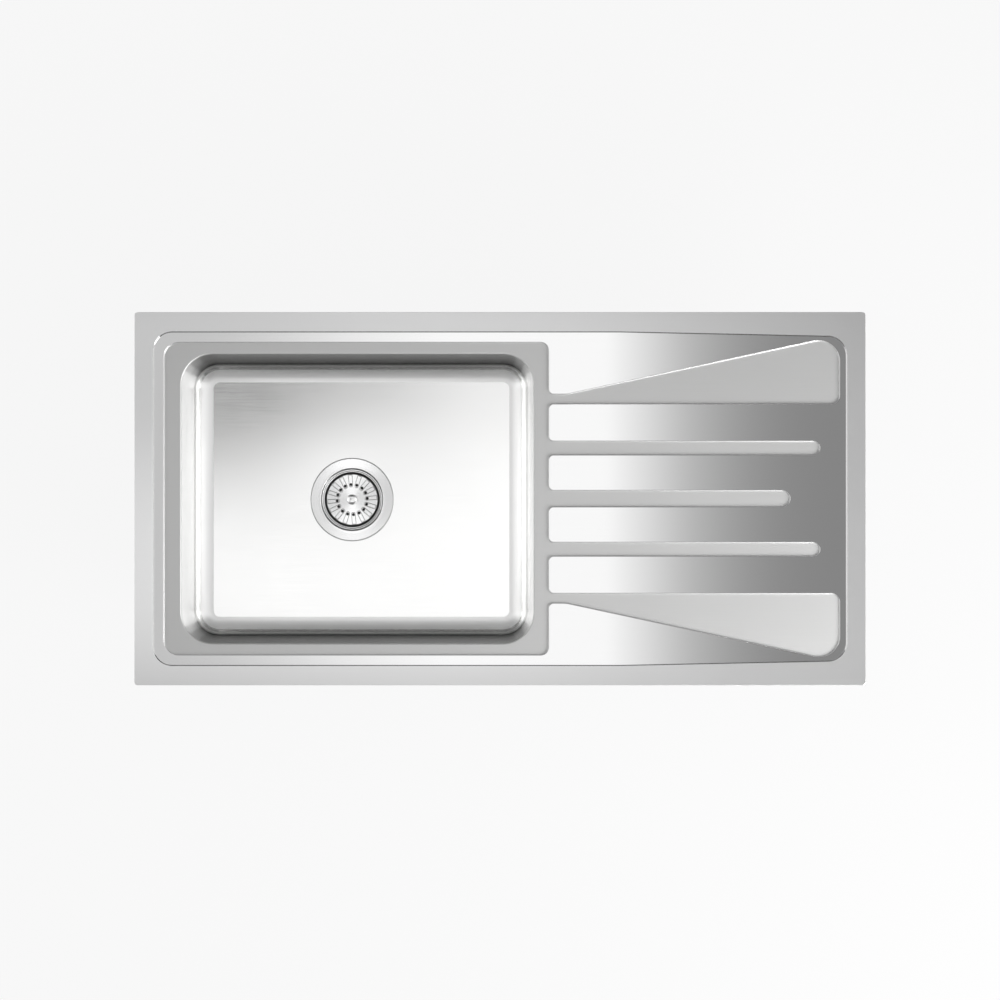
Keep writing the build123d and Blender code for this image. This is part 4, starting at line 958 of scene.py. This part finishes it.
# The lowest ledge takes the cup's dark steel and the creases their own: painted shade.
THROAT_CREASES = [(36.9, 38.1, -7.0, SHADED_LEDGE), (39.1, 40.0, -5.2, PAINTED_CREASE),
                  (41.2, 42.5, -2.6, PAINTED_CREASE), (55.95, 57.0, 1.6, PAINTED_CREASE)]
strainer = Skin()
turned(strainer, [
    (44.2, 1.5, 0.5), (56.5, 1.5, 0.2), (56.5, 1.9, 0.15), (55.9, 2.6, 0.2),
    (46.5, 2.25, 4.0), (43.0, 2.2, 0.8), (42.1, 0.3, 0.6), (41.2, -2.5, 0.3),
    (39.9, -2.6, 0.3), (39.1, -5.1, 0.3), (38.0, -5.2, 0.2), (37.0, -6.5, 0.5),
    (37.0, CUP_UNDER, 0.05), (37.8, CUP_UNDER, 0.3), (37.8, -6.9, 0.5), (42.8, -2.9, 0.3),
    (42.8, 0.0, 0.3),
], 144, creases=THROAT_CREASES)
holed_disc(strainer, 37.1, 10.7,
           [round_hole(CUP_HOLE_PLACE, math.tau * k / CUP_HOLES, CUP_HOLE_RADIUS)
            for k in range(CUP_HOLES)], SEAT + CUP_FLOOR, SEAT + CUP_UNDER)
turned(strainer, [
    (3.2, DIMPLE_UNDER, 0.1), (10.8, DIMPLE_UNDER, 1.0), (10.8, CUP_FLOOR, 0.2),
    (10.0, CUP_FLOOR, 0.2), (10.0, DIMPLE_BOTTOM, 0.6), (3.2, DIMPLE_BOTTOM, 0.1),
], 64)
strainer.make("strainer_flange_and_cup", [STRAINER_STEEL, CREASE_STEEL_PAINTED_SHADE, CUP_STEEL_PAINTED_SHADE],
              "root", ["strainer_cup"])

# %% [markdown]
# ### The basket's ring and knob
# The rubber ring sits in the throat, under the plate.  The knob stands on the plate: a
# thin neck under a low crown.

# %% Basket ring and knob
ring = Skin()
turned(ring, [
    (29.0, -6.8, 0.2), (36.0, -6.8, 0.4), (36.5, -6.3, 0.3), (37.0, -5.75, 0.3),
    (37.0, -3.8, 0.9), (29.0, -3.8, 0.2),
], 120)
ring.make("basket_sealing_ring", [RUBBER], "basket", ["basket_rim_ring"])

knob = Skin()
turned(knob, [
    (0.02, -3.0, 0.01), (5.5, -3.0, 0.3), (5.5, -2.0, 0.4), (3.9, -1.0, 0.8),
    (3.9, 3.5, 1.2), (7.0, 5.5, 0.6), (7.0, 8.0, 1.3), (4.0, 8.7, 8.0), (0.02, 9.0, 0.01),
], 64, turn_step=8.0)
knob.make("basket_lifting_knob", [POLISHED_STEEL], "basket", ["basket_knob"])

# %% [markdown]
# ## The fluted plate
# Sixteen radial flutes are pressed into the plate, each with an oval hole at its inner
# end.  The plate is built like the deck: the flutes are outlines, with a soft step
# down to a flat floor, and the holes are real openings.  The steps' sides are painted
# dark, as painted shade in the creases.

# %% Fluted plate
FLUTES = 16
FLUTE_START = math.radians(4.8)
PLATE_TOP, PLATE_RADIUS, PLATE_SHEET = SEAT - 3.0, 34.7, 0.8
PLATE_BOTTOM = PLATE_TOP - PLATE_SHEET
PLATE_EDGE = [(0.0, 0.3, 0.0), (math.pi / 4, 0.09, 0.09), (math.pi / 2, 0.0, 0.3),
              (math.pi / 2, 0.0, PLATE_SHEET)]    # (lean, inset, drop) over its edge
STEM_RADIUS = 2.8
FLUTE_DEPTH, FLUTE_BEND, FLUTE_SLOPE = 0.5, 0.5, math.radians(45.0)
FLUTE_FLOOR = PLATE_TOP - FLUTE_DEPTH
FLUTE_LINE = [(17.3, -2.6, 2.5), (34.1, -2.9, 0.3), (34.1, 2.9, 0.3), (17.3, 2.6, 2.5)]
HOLE_LINE = [(18.7, -1.9, 1.8), (22.8, -1.9, 1.8), (22.8, 1.9, 1.8), (18.7, 1.9, 1.8)]
# The flutes' step sides take the crease steel, painted dark as painted shade.
PLAIN, FLUTE_SIDE_SHADE = range(2)                   # the plate's finishes


def along_flute(corners, index):
    """An outline drawn along the X axis, turned to a flute's own place."""
    angle = FLUTE_START + math.tau * index / FLUTES
    cosine, sine = math.cos(angle), math.sin(angle)

    def turned_by(v):
        return Vector((v.x * cosine - v.y * sine, v.x * sine + v.y * cosine))

    return [(turned_by(place) + DRAIN, turned_by(out))
            for place, out in rounded_outline(corners, 20.0)]


plate = Skin()
flute_tops, holes = [], []
for index in range(FLUTES):
    flute, hole = along_flute(FLUTE_LINE, index), along_flute(HOLE_LINE, index)
    rows = [plate.inset_loop(flute, *row)
            for row in pressed_step(FLUTE_DEPTH, PLATE_TOP, FLUTE_BEND, 3, FLUTE_SLOPE)]
    plate.bands(rows, FLUTE_SIDE_SHADE)
    plate.flat(rows[-1], [plate.inset_loop(hole, 0.0, FLUTE_FLOOR, 0.0)], PLAIN)
    plate.band(plate.inset_loop(hole, 0.0, FLUTE_FLOOR, math.pi / 2),
               plate.inset_loop(hole, 0.0, PLATE_BOTTOM, math.pi / 2), PLAIN)
    flute_tops.append(rows[0])
    holes.append(hole)
plate_rows = [plate.circle_loop(PLATE_RADIUS - inset, PLATE_TOP - drop, lean, 128)
             for lean, inset, drop in PLATE_EDGE]
plate.flat(plate_rows[0], [plate.circle_loop(STEM_RADIUS, PLATE_TOP, 0.0, 32), *flute_tops],
           PLAIN)
plate.bands(plate_rows, PLAIN)
below = [plate.circle_loop(PLATE_RADIUS, PLATE_BOTTOM, math.pi, 128),
         plate.circle_loop(STEM_RADIUS, PLATE_BOTTOM, math.pi, 32),
         *[plate.inset_loop(hole, 0.0, PLATE_BOTTOM, math.pi) for hole in holes]]
plate.flat(below[0], below[1:], PLAIN)
plate.make("fluted_basket_plate", [STRAINER_STEEL, CREASE_STEEL_PAINTED_SHADE], "basket",
           ["basket_plate"])

# %% [markdown]
# ## The parts underneath
# Rails, clips, seals and the waste keep the engineering model's shapes, which are
# already bent, drilled and bevelled like the real ones.  They only need a finish.


# %% Finishes on the engineering parts
def dress(finish, *names):
    """Put a finish on parts of the engineering model."""
    for name in names:
        for material_slot in nodes[name].material_slots:
            material_slot.material = finish


CLIPS = range(1, 7)
dress(ZINC, "rail_back", "rail_front", "rail_left", "rail_right",
      *[f"clip_{part}_{n}" for part in ("bracket", "claw", "screw") for n in CLIPS])
dress(RUBBER, "flange_seal", "body_gasket", "basket_stopper")
dress(PLASTIC, "waste_body", "waste_spigot")
dress(FOAM, "sealing_strip")
dress(DAMPING, "bowl_pad", "drainer_pads")
dress(BRASS, "waste_nut")
# The basket's cup is painted dark, as painted shade under the plate.
dress(CUP_STEEL_PAINTED_SHADE, "basket_cup")
dress(POLISHED_STEEL, "waste_screw", "basket_stem", "basket_nut")
print("dressed the engineering parts")

# %% [markdown]
# ## Which lamp lights what
# The side lamps light the bowl, the strainer, the plate and the knob, the end lamps
# light the bowl alone, and the key leaves the bowl out.  So the side and end lamps
# don't show in the polished deck, and the key puts no streak on the bowl's walls.


# %% Which lamp lights what
def aim_at(name, lamps, pieces, state="INCLUDE"):
    """Let the lamps light only these pieces, or all but these."""
    chosen = bpy.data.collections.new(name)
    for piece in pieces:
        chosen.objects.link(bpy.data.objects[piece])
    for entry in chosen.collection_objects:
        entry.light_linking.link_state = state
    for each in lamps:
        each.light_linking.receiver_collection = chosen


aim_at("lit from both sides", SIDE_LAMPS, ["drawn_bowl", "strainer_flange_and_cup",
                                           "fluted_basket_plate", "basket_lifting_knob"])
aim_at("lit from front and back", END_LAMPS, ["drawn_bowl"])
aim_at("out of the key's light", [key], ["drawn_bowl"], "EXCLUDE")
print("lamps with chosen pieces:", len(SIDE_LAMPS + END_LAMPS) + 1)

# %% [markdown]
